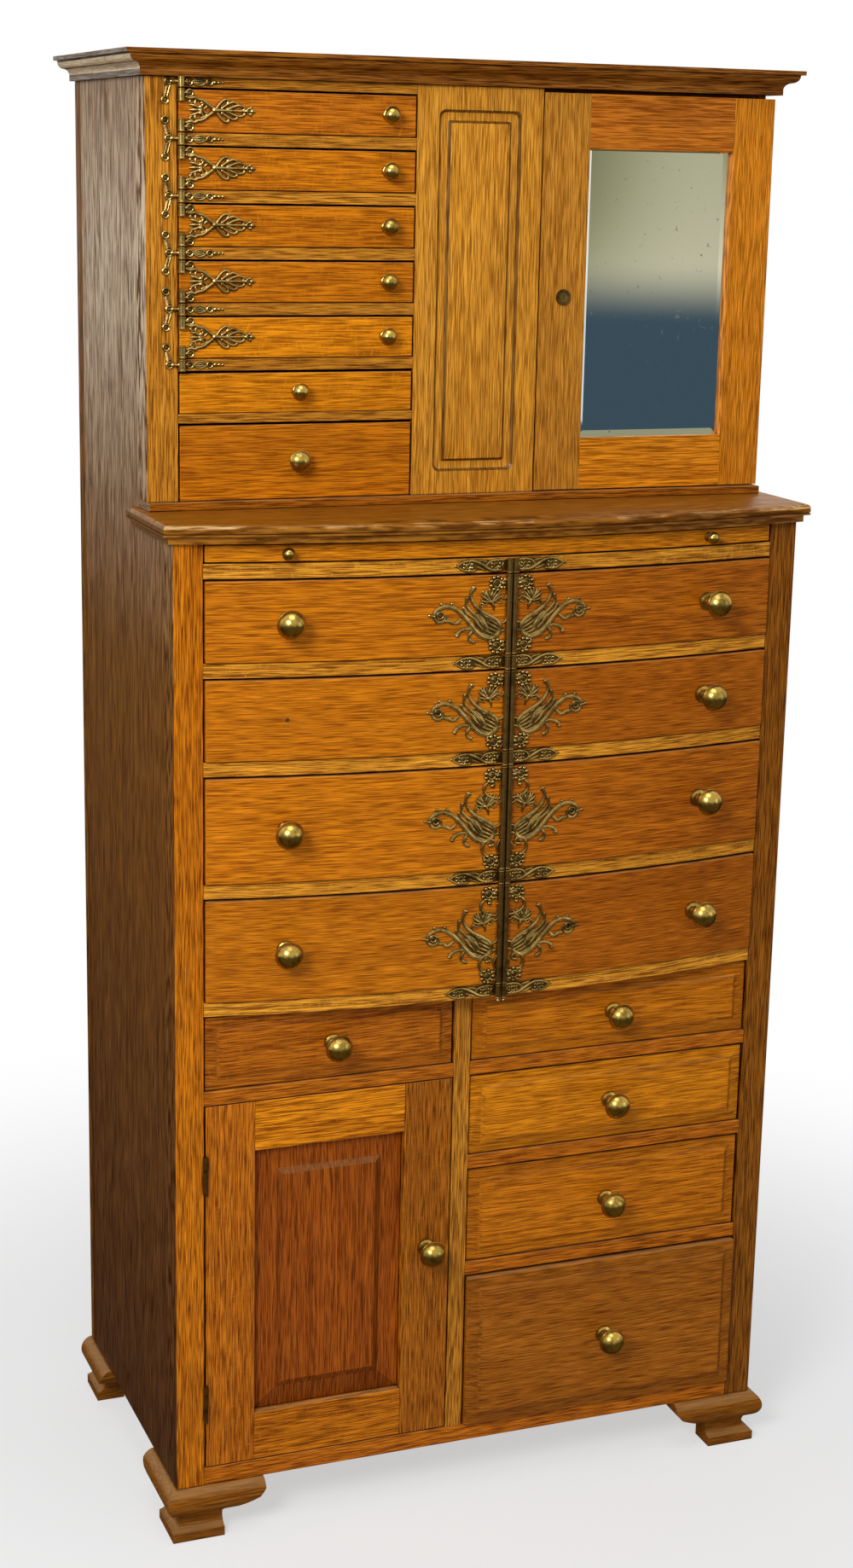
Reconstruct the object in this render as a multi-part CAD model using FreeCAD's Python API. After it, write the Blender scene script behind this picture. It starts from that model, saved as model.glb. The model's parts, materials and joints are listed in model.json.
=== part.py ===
"""Oak dental cabinet: bow-front lower case with swing trays, stepped upper case, cornice and bracket feet.

Millimetres. +Z is up, +X is to the right of someone who faces the cabinet, and -Y is to the front.
The origin is on the floor at the middle of the bounding box. The pieces are drawn from the front plane
of the lower face frame (y = 0 there) and moved back to the origin when they are saved.
"""
import FreeCAD
import Part
import math
import os

V = FreeCAD.Vector

# Case
case_width = 720.0
case_depth = 386.0
side_thickness = 18.0
back_thickness = 14.0
foot_height = 63.0
post_width = 32.0
post_depth = 36.0
dust_board = 8.0
cupboard_shelf = 12.0
shelf_setback = 30.0
guide_height = 30.0

# Lower case, openings from the bottom up
bottom_rail = 21.0
lower_rail = 16.0
drawer_4_opening = 188.0
drawer_3_opening = 115.0
drawer_2_opening = 97.0
drawer_1_opening = 86.0
left_bay = 290.0
mullion_width = 20.0
row_4_opening = 115.0
row_3_opening = 117.0
row_2_opening = 89.0
row_1_opening = 88.0
slide_opening = 22.0
bow_rise = 32.0

# Counter
counter_thickness = 20.0
counter_fillet = 8.0
counter_front_overhang = 18.0
counter_side_overhang = 12.0
fillet_overhang = 6.0
counter_nosing = 5.0
counter_return = 45.0
base_moulding_height = 8.5
base_moulding_proud = 9.0

# Upper case, openings from the bottom up
upper_setback = 99.0
upper_post_width = 34.0
tray_bay = 261.5
drawer_b_opening = 82.0
drawer_a_rail = 10.0
drawer_a_opening = 44.5
tray_rail = 12.5
tray_opening = 44.5
top_rail = 10.5
upper_trays = 5
upper_shelf = 6.0
partition_thickness = 14.0

# Centre panel
panel_width = 144.5
panel_thickness = 20.0
groove_margin = 25.0
groove_width = 13.5
groove_depth = 4.0
groove_corner = 7.0

# Cornice
cornice_height = 26.0
cornice_overhang = 24.0
cornice_foot = 6.0
cornice_fillet = 4.5
cornice_depth = 30.0
cover_board = 10.0

# Feet: how far each level stands out from the case, and the bracket
foot_top_out = 2.0
foot_roll_out = 13.5
foot_waist_out = -4.0
foot_toe_out = 6.0
foot_roll_drop = 16.0
foot_waist_height = 24.0
foot_toe_height = 11.0
foot_bracket = 101.0
foot_toe_width = 54.0
foot_wall = 28.0
bracket_end = 10.0

# Drawers
front_thickness = 16.0
drawer_side = 10.0
drawer_back = 10.0
drawer_bottom = 5.0
bottom_lift = 3.0
drawer_side_drop = 12.0
drawer_gap = 1.0
drawer_top_gap = 1.4
drawer_ride = 0.3
lower_drawer_room = 46.0
upper_drawer_room = 37.0
field_margin = 14.0
field_rise = 3.0
field_bevel = 1.5
bottom_drawer_pulled = 10.0

# Swing trays
tray_proud = 4.0
upper_tray_proud = 1.0
tray_wall = 8.0
tray_floor = 6.0
tray_gap = 0.8
centre_gap = 1.0
swing_gap = 1.2
bow_wall_drop = 25.0
upper_wall_drop = 12.0
tray_room = 30.0

# Writing slide
slide_thickness = 14.0
slide_room = 66.0

# Panel door
door_thickness = 20.0
door_stile = 56.0
door_rail = 57.0
door_hinge_gap = 2.0
door_gap = 1.2
panel_slab = 8.0
panel_recess = 7.0
panel_margin = 26.0
panel_rise = 5.0

# Mirror door
mirror_stile = 55.0
mirror_hinge_stile = 49.0
mirror_top_rail = 61.0
mirror_bottom_rail = 57.0
mirror_recess = 10.0
mirror_plate = 4.0
mirror_backing = 5.0

# Lock
lock_from_edge = 30.0
lock_height = 212.0
lock_case_radius = 8.5
lock_flange_radius = 10.5
lock_flange = 1.5
plug_radius = 5.0
cam_length = 38.0
cam_width = 9.0
cam_thickness = 2.2
cam_gap = 0.3

# Hinges
fit_gap = 0.05
leaf_thickness = 1.8
bow_pin_radius = 1.5
bow_barrel_radius = 3.2
bow_pin_offset = 3.4
bow_strap_length = 59.0
bow_strap_height = 11.0
bow_leaf_length = 92.0
bow_leaf_margin = 6.0
bow_lobe_radius = 9.0
bow_boss_radius = 6.0
upper_pin_radius = 1.5
upper_barrel_radius = 4.0
upper_pin_inset = 3.0
upper_knuckle = 13.0
upper_leaf_length = 80.0
upper_boss_radius = 4.5
upper_boss_offset = 10.0
upper_fan_half = 13.5
upper_strap_length = 47.0
bracket_boss_offset = 14.0
bracket_boss_reach = 20.0
butt_leaf = 0.8
butt_barrel_radius = 2.6
butt_pin_radius = 1.2
butt_length = 44.0
butt_leaf_width = 20.0
butt_margin = 58.0
knuckle_gap = 0.3

# Knobs: head radius, length from the face, rose radius, rose thickness, neck radius, length to the rim
big_head = 15.5
big_length = 36.0
big_rose = 10.0
big_rose_thickness = 4.0
big_neck = 6.0
big_rim = 23.0
small_head = 9.5
small_length = 20.0
small_rose = 6.5
small_rose_thickness = 2.5
small_neck = 4.0
small_rim = 12.5
slide_head = 7.0
slide_length = 16.0
slide_rose = 5.0
slide_rose_thickness = 2.0
slide_neck = 3.0
slide_rim = 10.0
middle_head = 12.0
bow_knob_x = 242.5
tray_knob_inset = 33.0
door_knob_height = 231.0

# Levels and lines worked out from the driving dimensions
half_width = case_width / 2
half_bay = half_width - post_width
inner_half = half_width - side_thickness
rear_y = case_depth + back_thickness
bow_radius = (half_bay ** 2 + bow_rise ** 2) / (2 * bow_rise)
bow_centre_y = bow_radius - bow_rise
mullion_left = -half_bay + left_bay
mullion_right = mullion_left + mullion_width

drawer_openings = [drawer_4_opening, drawer_3_opening, drawer_2_opening, drawer_1_opening]
drawer_floors = []
level = foot_height + bottom_rail
for opening in drawer_openings:
    drawer_floors.append(level)
    level += opening + lower_rail
row_openings = [row_4_opening, row_3_opening, row_2_opening, row_1_opening]
row_floors = []
for opening in row_openings:
    row_floors.append(level)
    level += opening + lower_rail
slide_floor = level
bow_rail_tops = row_floors + [slide_floor]
counter_under = slide_floor + slide_opening
counter_level = counter_under + counter_thickness
upper_floor = counter_level + base_moulding_height
drawer_a_floor = upper_floor + drawer_b_opening + drawer_a_rail
tray_pitch = tray_opening + tray_rail
tray_floors = [drawer_a_floor + drawer_a_opening + tray_rail + k * tray_pitch for k in range(upper_trays)]
upper_rail_tops = [drawer_a_floor] + tray_floors
upper_top = tray_floors[-1] + tray_opening + top_rail
cabinet_top = upper_top + cornice_height

face = upper_setback
bay_left = -half_width + upper_post_width
bay_right = bay_left + tray_bay
panel_right = bay_right + panel_width
door_back = face + door_thickness
post_back = face + post_depth
hinge_plane = door_back + door_hinge_gap

bow_pin_y = -bow_rise - tray_proud - bow_barrel_radius
bow_reach = math.hypot(half_bay - bow_pin_offset, bow_pin_y) - swing_gap
upper_pin_x = bay_left + upper_pin_inset
upper_pin_y = face - upper_tray_proud - upper_barrel_radius
upper_reach = math.hypot(bay_right - upper_pin_x, face - upper_pin_y) - swing_gap

panel_pin_x = -half_bay + door_hinge_gap / 2
panel_pin_y = -butt_barrel_radius - knuckle_gap
mirror_pin_x = half_width + butt_barrel_radius + knuckle_gap
mirror_pin_y = door_back + door_hinge_gap / 2
lower_drawer_depth = case_depth - lower_drawer_room
upper_drawer_depth = case_depth - face - upper_drawer_room
lock_x = panel_right + lock_from_edge
lock_z = upper_floor + lock_height


def bow_y(x, proud=0.0):
    """The bow's front surface at x, standing out from the rails by proud."""
    return bow_centre_y - math.sqrt((bow_radius + proud) ** 2 - x ** 2)


def bow_turn(x, proud=0.0):
    """How far the bow's surface has turned away from the front at x, in radians."""
    return math.asin(x / (bow_radius + proud))


def ball_centre(head, length, rim):
    """How far from the face the ball of a knob's head has its centre."""
    return (length ** 2 - head ** 2 - rim ** 2) / (2 * (length - rim))


big_ball = ball_centre(big_head, big_length, big_rim)
knob_reach = (big_ball * math.cos(bow_turn(bow_knob_x, tray_proud)) + big_length - big_ball
              - bow_y(bow_knob_x, tray_proud))
counter_reach = bow_rise + counter_front_overhang
to_origin = V(0, (max(knob_reach, counter_reach) - rear_y) / 2, 0)


def box(x0, x1, y0, y1, z0, z1):
    """A box between two corners."""
    return Part.makeBox(x1 - x0, y1 - y0, z1 - z0, V(x0, y0, z0))


def prism(points, z0, z1):
    """A polygon in plan, raised from z0 to z1."""
    corners = [V(x, y, z0) for x, y in points]
    return Part.Face(Part.makePolygon(corners + corners[:1])).extrude(V(0, 0, z1 - z0))


def front_prism(points, y0, y1):
    """A polygon in front view, (x, z), from y0 back to y1."""
    corners = [V(x, y0, z) for x, z in points]
    return Part.Face(Part.makePolygon(corners + corners[:1])).extrude(V(0, y1 - y0, 0))


def rod(x, y, radius, z0, z1):
    """An upright cylinder."""
    return Part.makeCylinder(radius, z1 - z0, V(x, y, z0))


def stud(x, z, radius, y0, y1):
    """A cylinder along Y."""
    return Part.makeCylinder(radius, y1 - y0, V(x, y0, z), V(0, 1, 0))


def bow_drum(proud, z0, z1):
    """Everything behind the bow's surface, for cutting pieces to it."""
    return rod(0, bow_centre_y, bow_radius + proud, z0, z1)


def joined(pieces):
    """One solid from pieces that overlap."""
    return pieces[0].fuse(pieces[1:]).removeSplitter()


def mirrored(shape):
    """The same piece on the other side of the middle."""
    return shape.mirror(V(0, 0, 0), V(1, 0, 0))


def rectangle(x0, x1, z0, z1, y):
    """A rectangular wire in the plane y."""
    return Part.makePolygon([V(x0, y, z0), V(x1, y, z0), V(x1, y, z1), V(x0, y, z1), V(x0, y, z0)])


def raised_field(x0, x1, z0, z1, y, rise, bevel):
    """A field that stands out to the front of the plane y, with sloping edges."""
    foot = rectangle(x0, x1, z0, z1, y)
    top = rectangle(x0 + bevel, x1 - bevel, z0 + bevel, z1 - bevel, y - rise)
    return Part.makeLoft([foot, top], True, True)


def turned_knob(x, y, z, head, length, rose, rose_thickness, neck, rim):
    """A mushroom knob turned about Y, with its rose on the face at y."""
    start = V(x, y, z)
    rose_edge = V(x + rose, y, z)
    rose_front = V(x + rose, y - rose_thickness, z)
    neck_foot = V(x + neck, y - rose_thickness, z)
    neck_top = V(x + neck, y - (rose_thickness + rim) / 2, z)
    rim_point = V(x + head, y - rim, z)
    ball = ball_centre(head, length, rim)
    half_turn = math.atan2(head, rim - ball) / 2
    crown = V(x + (length - ball) * math.sin(half_turn), y - ball - (length - ball) * math.cos(half_turn), z)
    tip = V(x, y - length, z)
    outline = Part.Wire([
        Part.makeLine(start, rose_edge),
        Part.makeLine(rose_edge, rose_front),
        Part.makeLine(rose_front, neck_foot),
        Part.makeLine(neck_foot, neck_top),
        Part.makeLine(neck_top, rim_point),
        Part.Arc(rim_point, crown, tip).toShape(),
        Part.makeLine(tip, start),
    ])
    return Part.Face(outline).revolve(start, V(0, 1, 0), 360)


def big_knob(x, y, z):
    """The lower case's brass knob."""
    return turned_knob(x, y, z, big_head, big_length, big_rose, big_rose_thickness, big_neck, big_rim)


def on_bow(knob, x, y, turn):
    """A knob turned about its foot so that it stands square on the bow."""
    knob.rotate(V(x, y, 0), V(0, 0, 1), math.degrees(turn))
    return knob


def small_knob(x, y, z, head):
    """The upper case's smaller knob."""
    return turned_knob(x, y, z, head, small_length, small_rose, small_rose_thickness, small_neck, small_rim)


# The fixed case
def case_sides():
    """Two stepped side boards, from the feet to the cornice."""
    outline = [(post_depth, foot_height), (case_depth, foot_height), (case_depth, upper_top),
               (post_back, upper_top), (post_back, counter_under), (post_depth, counter_under)]
    corners = [V(-half_width, y, z) for y, z in outline]
    left = Part.Face(Part.makePolygon(corners + corners[:1])).extrude(V(side_thickness, 0, 0))
    return [left, mirrored(left)]


def back_board():
    """One board over the rear edges of the sides."""
    return [box(-half_width, half_width, case_depth, rear_y, foot_height, upper_top)]


def lower_face_frame():
    """Corner posts, bottom rail, mullion and the straight rails between the drawers."""
    bow_under = bow_rail_tops[0] - lower_rail
    left_post = box(-half_width, -half_bay, 0, post_depth, foot_height, counter_under)
    pieces = [left_post, mirrored(left_post)]
    pieces.append(box(-half_bay, half_bay, 0, post_depth, foot_height, drawer_floors[0]))
    pieces.append(box(mullion_left, mullion_right, 0, post_depth, drawer_floors[0], bow_under))
    for floor in drawer_floors[1:]:
        pieces.append(box(mullion_right, half_bay, 0, post_depth, floor - lower_rail, floor))
    small_floor = drawer_floors[-1]
    pieces.append(box(-half_bay, mullion_left, 0, post_depth, small_floor - lower_rail, small_floor))
    return pieces


def bow_rails():
    """The five bowed rails, above and below each row of trays."""
    pieces = []
    for top in bow_rail_tops:
        blank = box(-half_bay, half_bay, -2 * bow_rise, post_depth, top - lower_rail, top)
        pieces.append(blank.common(bow_drum(0, top - lower_rail, top)))
    return pieces


def inner_boards():
    """Everything inside: bottom, partitions, dust boards, shelves, guides and tops."""
    bow_under = bow_rail_tops[0] - lower_rail
    pieces = [box(-inner_half, inner_half, post_depth, case_depth, foot_height, drawer_floors[0])]
    pieces.append(box(mullion_left, mullion_right, post_depth, case_depth, drawer_floors[0], bow_under))
    for floor in drawer_floors:
        if floor != drawer_floors[0]:
            pieces.append(box(mullion_right, inner_half, post_depth, case_depth, floor - dust_board, floor))
        pieces.append(box(half_bay, inner_half, post_depth, case_depth, floor, floor + guide_height))
    small_floor = drawer_floors[-1]
    pieces.append(box(-inner_half, mullion_left, post_depth, case_depth, small_floor - dust_board, small_floor))
    pieces.append(box(-inner_half, -half_bay, post_depth, case_depth, small_floor, small_floor + guide_height))
    middle = (drawer_floors[0] + small_floor) / 2
    pieces.append(box(-inner_half, mullion_left, post_depth + shelf_setback, case_depth,
                      middle - cupboard_shelf, middle))
    for top in bow_rail_tops:
        pieces.append(box(-inner_half, inner_half, post_depth, case_depth, top - dust_board, top))
    for x0, x1 in ((-inner_half, -half_bay), (half_bay, inner_half)):
        pieces.append(box(x0, x1, post_depth, case_depth, slide_floor, counter_under))
    pieces.append(box(-inner_half, inner_half, post_back, case_depth, counter_under, counter_level))
    pieces.append(box(-inner_half, inner_half, post_back, case_depth, counter_level, upper_floor))
    pieces.append(box(bay_right, bay_right + partition_thickness, face + panel_thickness, case_depth,
                      upper_floor, upper_top - top_rail))
    for top in upper_rail_tops:
        pieces.append(box(-inner_half, bay_right, post_back, case_depth, top - upper_shelf, top))
    for floor, rail_top in ((upper_floor, drawer_a_floor), (drawer_a_floor, tray_floors[0])):
        guide = min(guide_height, rail_top - upper_shelf - floor)
        pieces.append(box(-inner_half, bay_left, post_back, case_depth, floor, floor + guide))
    pieces.append(box(-inner_half, inner_half, post_back, case_depth, upper_top - top_rail, upper_top))
    cupboard_left = bay_right + partition_thickness
    cupboard_height = upper_top - top_rail - upper_floor
    for k in (1, 2):
        shelf = upper_floor + k * cupboard_height / 3
        pieces.append(box(cupboard_left, inner_half, post_back + shelf_setback, case_depth,
                          shelf - cupboard_shelf, shelf))
    return pieces


def counter_top():
    """The bowed counter: a nosed slab over a smaller fillet, and the two side returns."""
    slab_under = counter_under + counter_fillet
    wide = half_width + counter_side_overhang
    slab = box(-wide, wide, -2 * counter_reach, post_back, slab_under, counter_level)
    slab = slab.common(bow_drum(counter_front_overhang, slab_under, counter_level))
    nosed = [edge for edge in slab.Edges
             if abs(edge.CenterOfMass.z - counter_level) < 0.1 and edge.BoundBox.YMin < post_back - 1]
    slab = slab.makeFillet(counter_nosing, nosed)
    narrow = half_width + fillet_overhang
    under = box(-narrow, narrow, -2 * counter_reach, post_back, counter_under, slab_under)
    under = under.common(bow_drum(counter_front_overhang - counter_side_overhang + fillet_overhang,
                                  counter_under, slab_under))
    end = face + counter_return
    strip = box(-wide, -half_width, post_back, end, slab_under, counter_level - counter_nosing)
    low_strip = box(-narrow, -half_width, post_back, end, counter_under, slab_under)
    return [slab, under, strip, low_strip, mirrored(strip), mirrored(low_strip)]


def upper_face_frame():
    """Left post, rails, base moulding, and the post and header behind the mirror door."""
    pieces = [box(-half_width, half_width, face - base_moulding_proud, post_back, counter_level, upper_floor)]
    pieces.append(box(-half_width, bay_left, face, post_back, upper_floor, upper_top))
    heights = [drawer_a_rail] + [tray_rail] * upper_trays
    for top, height in zip(upper_rail_tops, heights):
        pieces.append(box(bay_left, bay_right, face, post_back, top - height, top))
    pieces.append(box(bay_left, bay_right, face, post_back, upper_top - top_rail, upper_top))
    post_left = half_width - upper_post_width
    pieces.append(box(post_left, half_width, hinge_plane, post_back, upper_floor, upper_top))
    pieces.append(box(bay_right + partition_thickness, post_left, hinge_plane, post_back,
                      upper_top - top_rail, upper_top))
    return pieces


def rounded_loop(x0, x1, z0, z1, radius, y):
    """A rectangle with round corners, as a face in the plane y."""
    block = Part.makeBox(x1 - x0, 1, z1 - z0, V(x0, y, z0))
    upright = [edge for edge in block.Edges if abs(edge.Vertexes[0].Y - edge.Vertexes[1].Y) > 0.5]
    rounded = block.makeFillet(radius, upright)
    return min(rounded.Faces, key=lambda f: f.CenterOfMass.y)


def centre_panel():
    """The fixed board with a groove around a field."""
    board = box(bay_right, panel_right, face, face + panel_thickness, upper_floor, upper_top)
    left = bay_right + groove_margin
    right = panel_right - groove_margin
    low = upper_floor + groove_margin
    high = upper_top - groove_margin
    cut = V(0, groove_depth, 0)
    outer = rounded_loop(left, right, low, high, groove_corner, face).extrude(cut)
    inner = rounded_loop(left + groove_width, right - groove_width, low + groove_width,
                         high - groove_width, groove_corner / 4, face).extrude(cut)
    return [board.cut(outer.cut(inner))]


def cornice_section():
    """The cornice's outline as (out from the case, height above its foot) pieces of wire in the YZ plane."""
    def at(out, height):
        return V(0, face - out, upper_top + height)

    top_step = cornice_height - cornice_fillet
    cove_out = cornice_overhang - cornice_fillet
    middle_out = (cornice_foot + cove_out) / 2
    middle_height = (cornice_fillet + top_step) / 2
    sag = (cove_out - cornice_foot) / 8
    low_mid = at((cornice_foot + middle_out) / 2 - sag, (cornice_fillet + middle_height) / 2 + sag)
    high_mid = at((middle_out + cove_out) / 2 + sag, (middle_height + top_step) / 2 - sag)
    corners = [at(-cornice_depth, 0), at(cornice_foot, 0), at(cornice_foot, cornice_fillet)]
    lines = [Part.makeLine(a, b) for a, b in zip(corners, corners[1:])]
    lines.append(Part.Arc(corners[-1], low_mid, at(middle_out, middle_height)).toShape())
    lines.append(Part.Arc(at(middle_out, middle_height), high_mid, at(cove_out, top_step)).toShape())
    rest = [at(cove_out, top_step), at(cornice_overhang, top_step), at(cornice_overhang, cornice_height),
            at(-cornice_depth, cornice_height), corners[0]]
    lines += [Part.makeLine(a, b) for a, b in zip(rest, rest[1:])]
    return Part.Face(Part.Wire(lines))


def cornice():
    """Front length and two returns with mitred corners, and the cover board and back rail between them."""
    tip = half_width + cornice_overhang + 1
    inner = half_width - cornice_depth
    front_line = face - cornice_overhang - 1
    low = upper_top - 1
    high = cabinet_top + 1
    section = cornice_section()
    section.translate(V(-tip, 0, 0))
    front = section.extrude(V(2 * tip, 0, 0))
    front = front.common(prism([(-tip, front_line), (tip, front_line), (inner, face + cornice_depth),
                                (-inner, face + cornice_depth)], low, high))
    side = cornice_section()
    side.rotate(V(0, face, 0), V(0, 0, 1), -90)
    side.translate(V(-half_width, front_line - face, 0))
    side = side.extrude(V(0, rear_y - front_line, 0))
    side = side.common(prism([(-tip, front_line), (-inner, face + cornice_depth), (-inner, rear_y),
                              (-tip, rear_y)], low, high))
    cover_under = cabinet_top - cover_board
    cover = box(-inner, inner, face + cornice_depth, rear_y, cover_under, cabinet_top)
    back_rail = box(-inner, inner, case_depth, rear_y, upper_top, cover_under)
    return [front, side, mirrored(side), cover, back_rail]


def foot_section():
    """The foot's ogee outline in the YZ plane, out from a case face at y = 0, closed behind."""
    def at(out, height):
        return V(0, -out, height)

    roll_height = foot_height - foot_roll_drop
    under_roll = foot_height - 2 * foot_roll_drop
    under_out = (foot_top_out + foot_waist_out) / 2 + 1
    top = at(foot_top_out, foot_height)
    under = at(under_out, under_roll)
    toe = at(foot_toe_out, foot_toe_height)
    roll = Part.Arc(top, at(foot_roll_out, roll_height), under).toShape()
    waist = Part.Arc(under, at(foot_waist_out, foot_waist_height), toe).toShape()
    rest = [toe, at(foot_toe_out, 0), at(-foot_bracket, 0), at(-foot_bracket, foot_height), top]
    lines = [Part.makeLine(a, b) for a, b in zip(rest, rest[1:])]
    return Part.Face(Part.Wire([roll, waist] + lines))


def bracket_cut():
    """What the bracket's curve takes away, in a plane from the corner: (along the case, height)."""
    beyond = foot_bracket + 1
    high = foot_height - bracket_end
    knee = foot_waist_height + 3
    middle = (foot_bracket + foot_toe_width) / 2
    return [(foot_toe_width, -1), (foot_toe_width, knee), (middle - 4, knee + 8),
            (foot_bracket - 7, high - 9), (foot_bracket, high), (beyond, high), (beyond, -1)]


def bracket_foot():
    """The front left foot: two ogee faces that meet at the corner, with a curved bracket each way."""
    reach = foot_roll_out + 1
    length = foot_bracket + reach
    front = foot_section()
    front.translate(V(-half_width - reach, 0, 0))
    front = front.extrude(V(length, 0, 0))
    side = foot_section()
    side.rotate(V(0, 0, 0), V(0, 0, 1), -90)
    side.translate(V(-half_width, -reach, 0))
    side = side.extrude(V(0, length, 0))
    block = front.common(side)
    hollow = box(-half_width + foot_wall, -half_width + length, foot_wall, length, -1, foot_height + 1)
    block = block.cut(hollow)
    along = [(x - half_width, z) for x, z in bracket_cut()]
    block = block.cut(front_prism(along, -reach, foot_wall + 1))
    back = [V(-half_width - reach, y, z) for y, z in bracket_cut()]
    back_cut = Part.Face(Part.makePolygon(back + back[:1])).extrude(V(reach + foot_wall + 1, 0, 0))
    return block.cut(back_cut)


def feet():
    """Four bracket feet, the rear two cut off flush with the back board."""
    front = bracket_foot()
    rear = front.mirror(V(0, rear_y / 2, 0), V(0, 1, 0))
    rear = rear.common(box(-case_width, case_width, 0, rear_y, -1, foot_height + 1))
    return [front, mirrored(front), rear, mirrored(rear)]


# Hinges
def plate(shapes, y, thickness):
    """A flat brass plate on the plane y, joined from discs (x, z, r) and polygons of (x, z)."""
    pieces = []
    for shape in shapes:
        if isinstance(shape, tuple):
            pieces.append(stud(shape[0], shape[1], shape[2], y - thickness, y))
        else:
            pieces.append(front_prism(shape, y - thickness, y))
    return joined(pieces)


def strap_shapes(x, z, length, height):
    """A strap that runs right from x: a tapering band with a boss near its middle and a tip."""
    band = [(x, z - height / 2), (x + length * 0.6, z - height / 4), (x + length, z - height / 12),
            (x + length, z + height / 12), (x + length * 0.6, z + height / 4), (x, z + height / 2)]
    return [band, (x + length * 0.3, z, height * 0.42), (x + length * 0.7, z, height * 0.36)]


def bow_straps():
    """The fixed strap and knuckle on each bow rail, right-hand side then left."""
    straps = []
    for top in bow_rail_tops:
        low = top - lower_rail
        middle = (low + top) / 2
        shapes = strap_shapes(bow_pin_offset, middle, bow_strap_length - bow_pin_offset, bow_strap_height)
        strap = plate(shapes, 0, 2 * bow_rise).common(bow_drum(leaf_thickness, low, top))
        web = box(bow_pin_offset - bow_barrel_radius + 0.4, bow_pin_offset + bow_barrel_radius,
                  bow_pin_y, 0, low, top)
        knuckle = rod(bow_pin_offset, bow_pin_y, bow_barrel_radius, low, top - fit_gap)
        whole = joined([strap, web.common(bow_drum(2 * bow_rise, low, top - fit_gap)), knuckle])
        whole = whole.cut(bow_drum(0, low - 1, top + 1))
        whole = whole.cut(rod(bow_pin_offset, bow_pin_y, bow_pin_radius + fit_gap, low - 1, top + 1))
        straps += [whole, mirrored(whole)]
    pin = rod(bow_pin_offset, bow_pin_y, bow_pin_radius, bow_rail_tops[0] - lower_rail, slide_floor - fit_gap)
    return straps + [pin, mirrored(pin)]


def upper_brackets():
    """The fixed leaf at each upper rail: bosses on the post, a knuckle on the pin and a strap on the rail."""
    pieces = []
    rails = [(floor - tray_rail, floor) for floor in tray_floors] + [(upper_top - top_rail, upper_top)]
    boss_x = upper_pin_x - bracket_boss_offset
    for low, top in rails:
        middle = (low + top) / 2
        reaches = [reach for reach in (-bracket_boss_reach, bracket_boss_reach)
                   if tray_floors[0] - tray_rail < middle + reach < upper_top]
        shapes = [(boss_x, middle + reach, upper_boss_radius) for reach in reaches]
        ends = [middle] + [middle + reach for reach in reaches]
        half = upper_boss_radius * 0.55
        shapes.append([(boss_x - half, min(ends)), (boss_x + half, min(ends)),
                       (boss_x + half, max(ends)), (boss_x - half, max(ends))])
        shapes.append((boss_x + half, middle, upper_boss_radius))
        shapes.append([(boss_x, middle - half), (upper_pin_x, middle - half),
                       (upper_pin_x, middle + half), (boss_x, middle + half)])
        shapes += strap_shapes(upper_pin_x, middle, upper_strap_length, 2 * upper_boss_radius)
        leaf = plate(shapes, face, leaf_thickness)
        web = box(upper_pin_x - upper_barrel_radius / 2, upper_pin_x + upper_barrel_radius / 2,
                  upper_pin_y, face, low, top)
        knuckle = rod(upper_pin_x, upper_pin_y, upper_barrel_radius, low, top)
        whole = joined([leaf, web, knuckle])
        pieces.append(whole.cut(rod(upper_pin_x, upper_pin_y, upper_pin_radius + fit_gap, low - 1, top + 1)))
    pieces.append(rod(upper_pin_x, upper_pin_y, upper_pin_radius, rails[0][0], upper_top))
    return pieces


def butt_spans(floor, top):
    """The two butt hinges of a door, as (low, high) spans."""
    return [(floor + butt_margin, floor + butt_margin + butt_length),
            (top - butt_margin - butt_length, top - butt_margin)]


def butt_knuckles(x, y, low, high):
    """One hinge's round parts: the frame's two knuckles, the pin, and the door's middle knuckle."""
    third = (high - low) / 3
    bore = rod(x, y, butt_pin_radius + fit_gap, low - 1, high + 1)
    frame_parts = []
    for a, b in ((low, low + third), (high - third, high)):
        frame_parts.append(rod(x, y, butt_barrel_radius, a, b).cut(bore))
    door_part = rod(x, y, butt_barrel_radius, low + third + knuckle_gap, high - third - knuckle_gap).cut(bore)
    return frame_parts, rod(x, y, butt_pin_radius, low, high), door_part


def door_opening():
    """The panel door's opening: bottom and top."""
    return drawer_floors[0], drawer_floors[-1] - lower_rail


def panel_butts():
    """The panel door's butt hinges: frame side and door side."""
    frame_side = []
    door_side = []
    post_leaf = -half_bay + butt_leaf
    door_leaf = -half_bay + door_hinge_gap - butt_leaf
    for low, high in butt_spans(*door_opening()):
        third = (high - low) / 3
        knuckles, pin, middle = butt_knuckles(panel_pin_x, panel_pin_y, low, high)
        clear = rod(panel_pin_x, panel_pin_y, butt_barrel_radius + knuckle_gap, low + third, high - third)
        leaf = box(-half_bay, post_leaf, panel_pin_y, butt_leaf_width, low, high).cut(clear)
        bore = rod(panel_pin_x, panel_pin_y, butt_pin_radius + fit_gap, low - 1, high + 1)
        frame_side += [joined([leaf] + knuckles).cut(bore), pin]
        blades = box(door_leaf, door_leaf + butt_leaf, panel_pin_y, butt_leaf_width,
                     low + third + knuckle_gap, high - third - knuckle_gap)
        door_side.append(joined([blades, middle]).cut(bore))
    return frame_side, door_side


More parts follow.
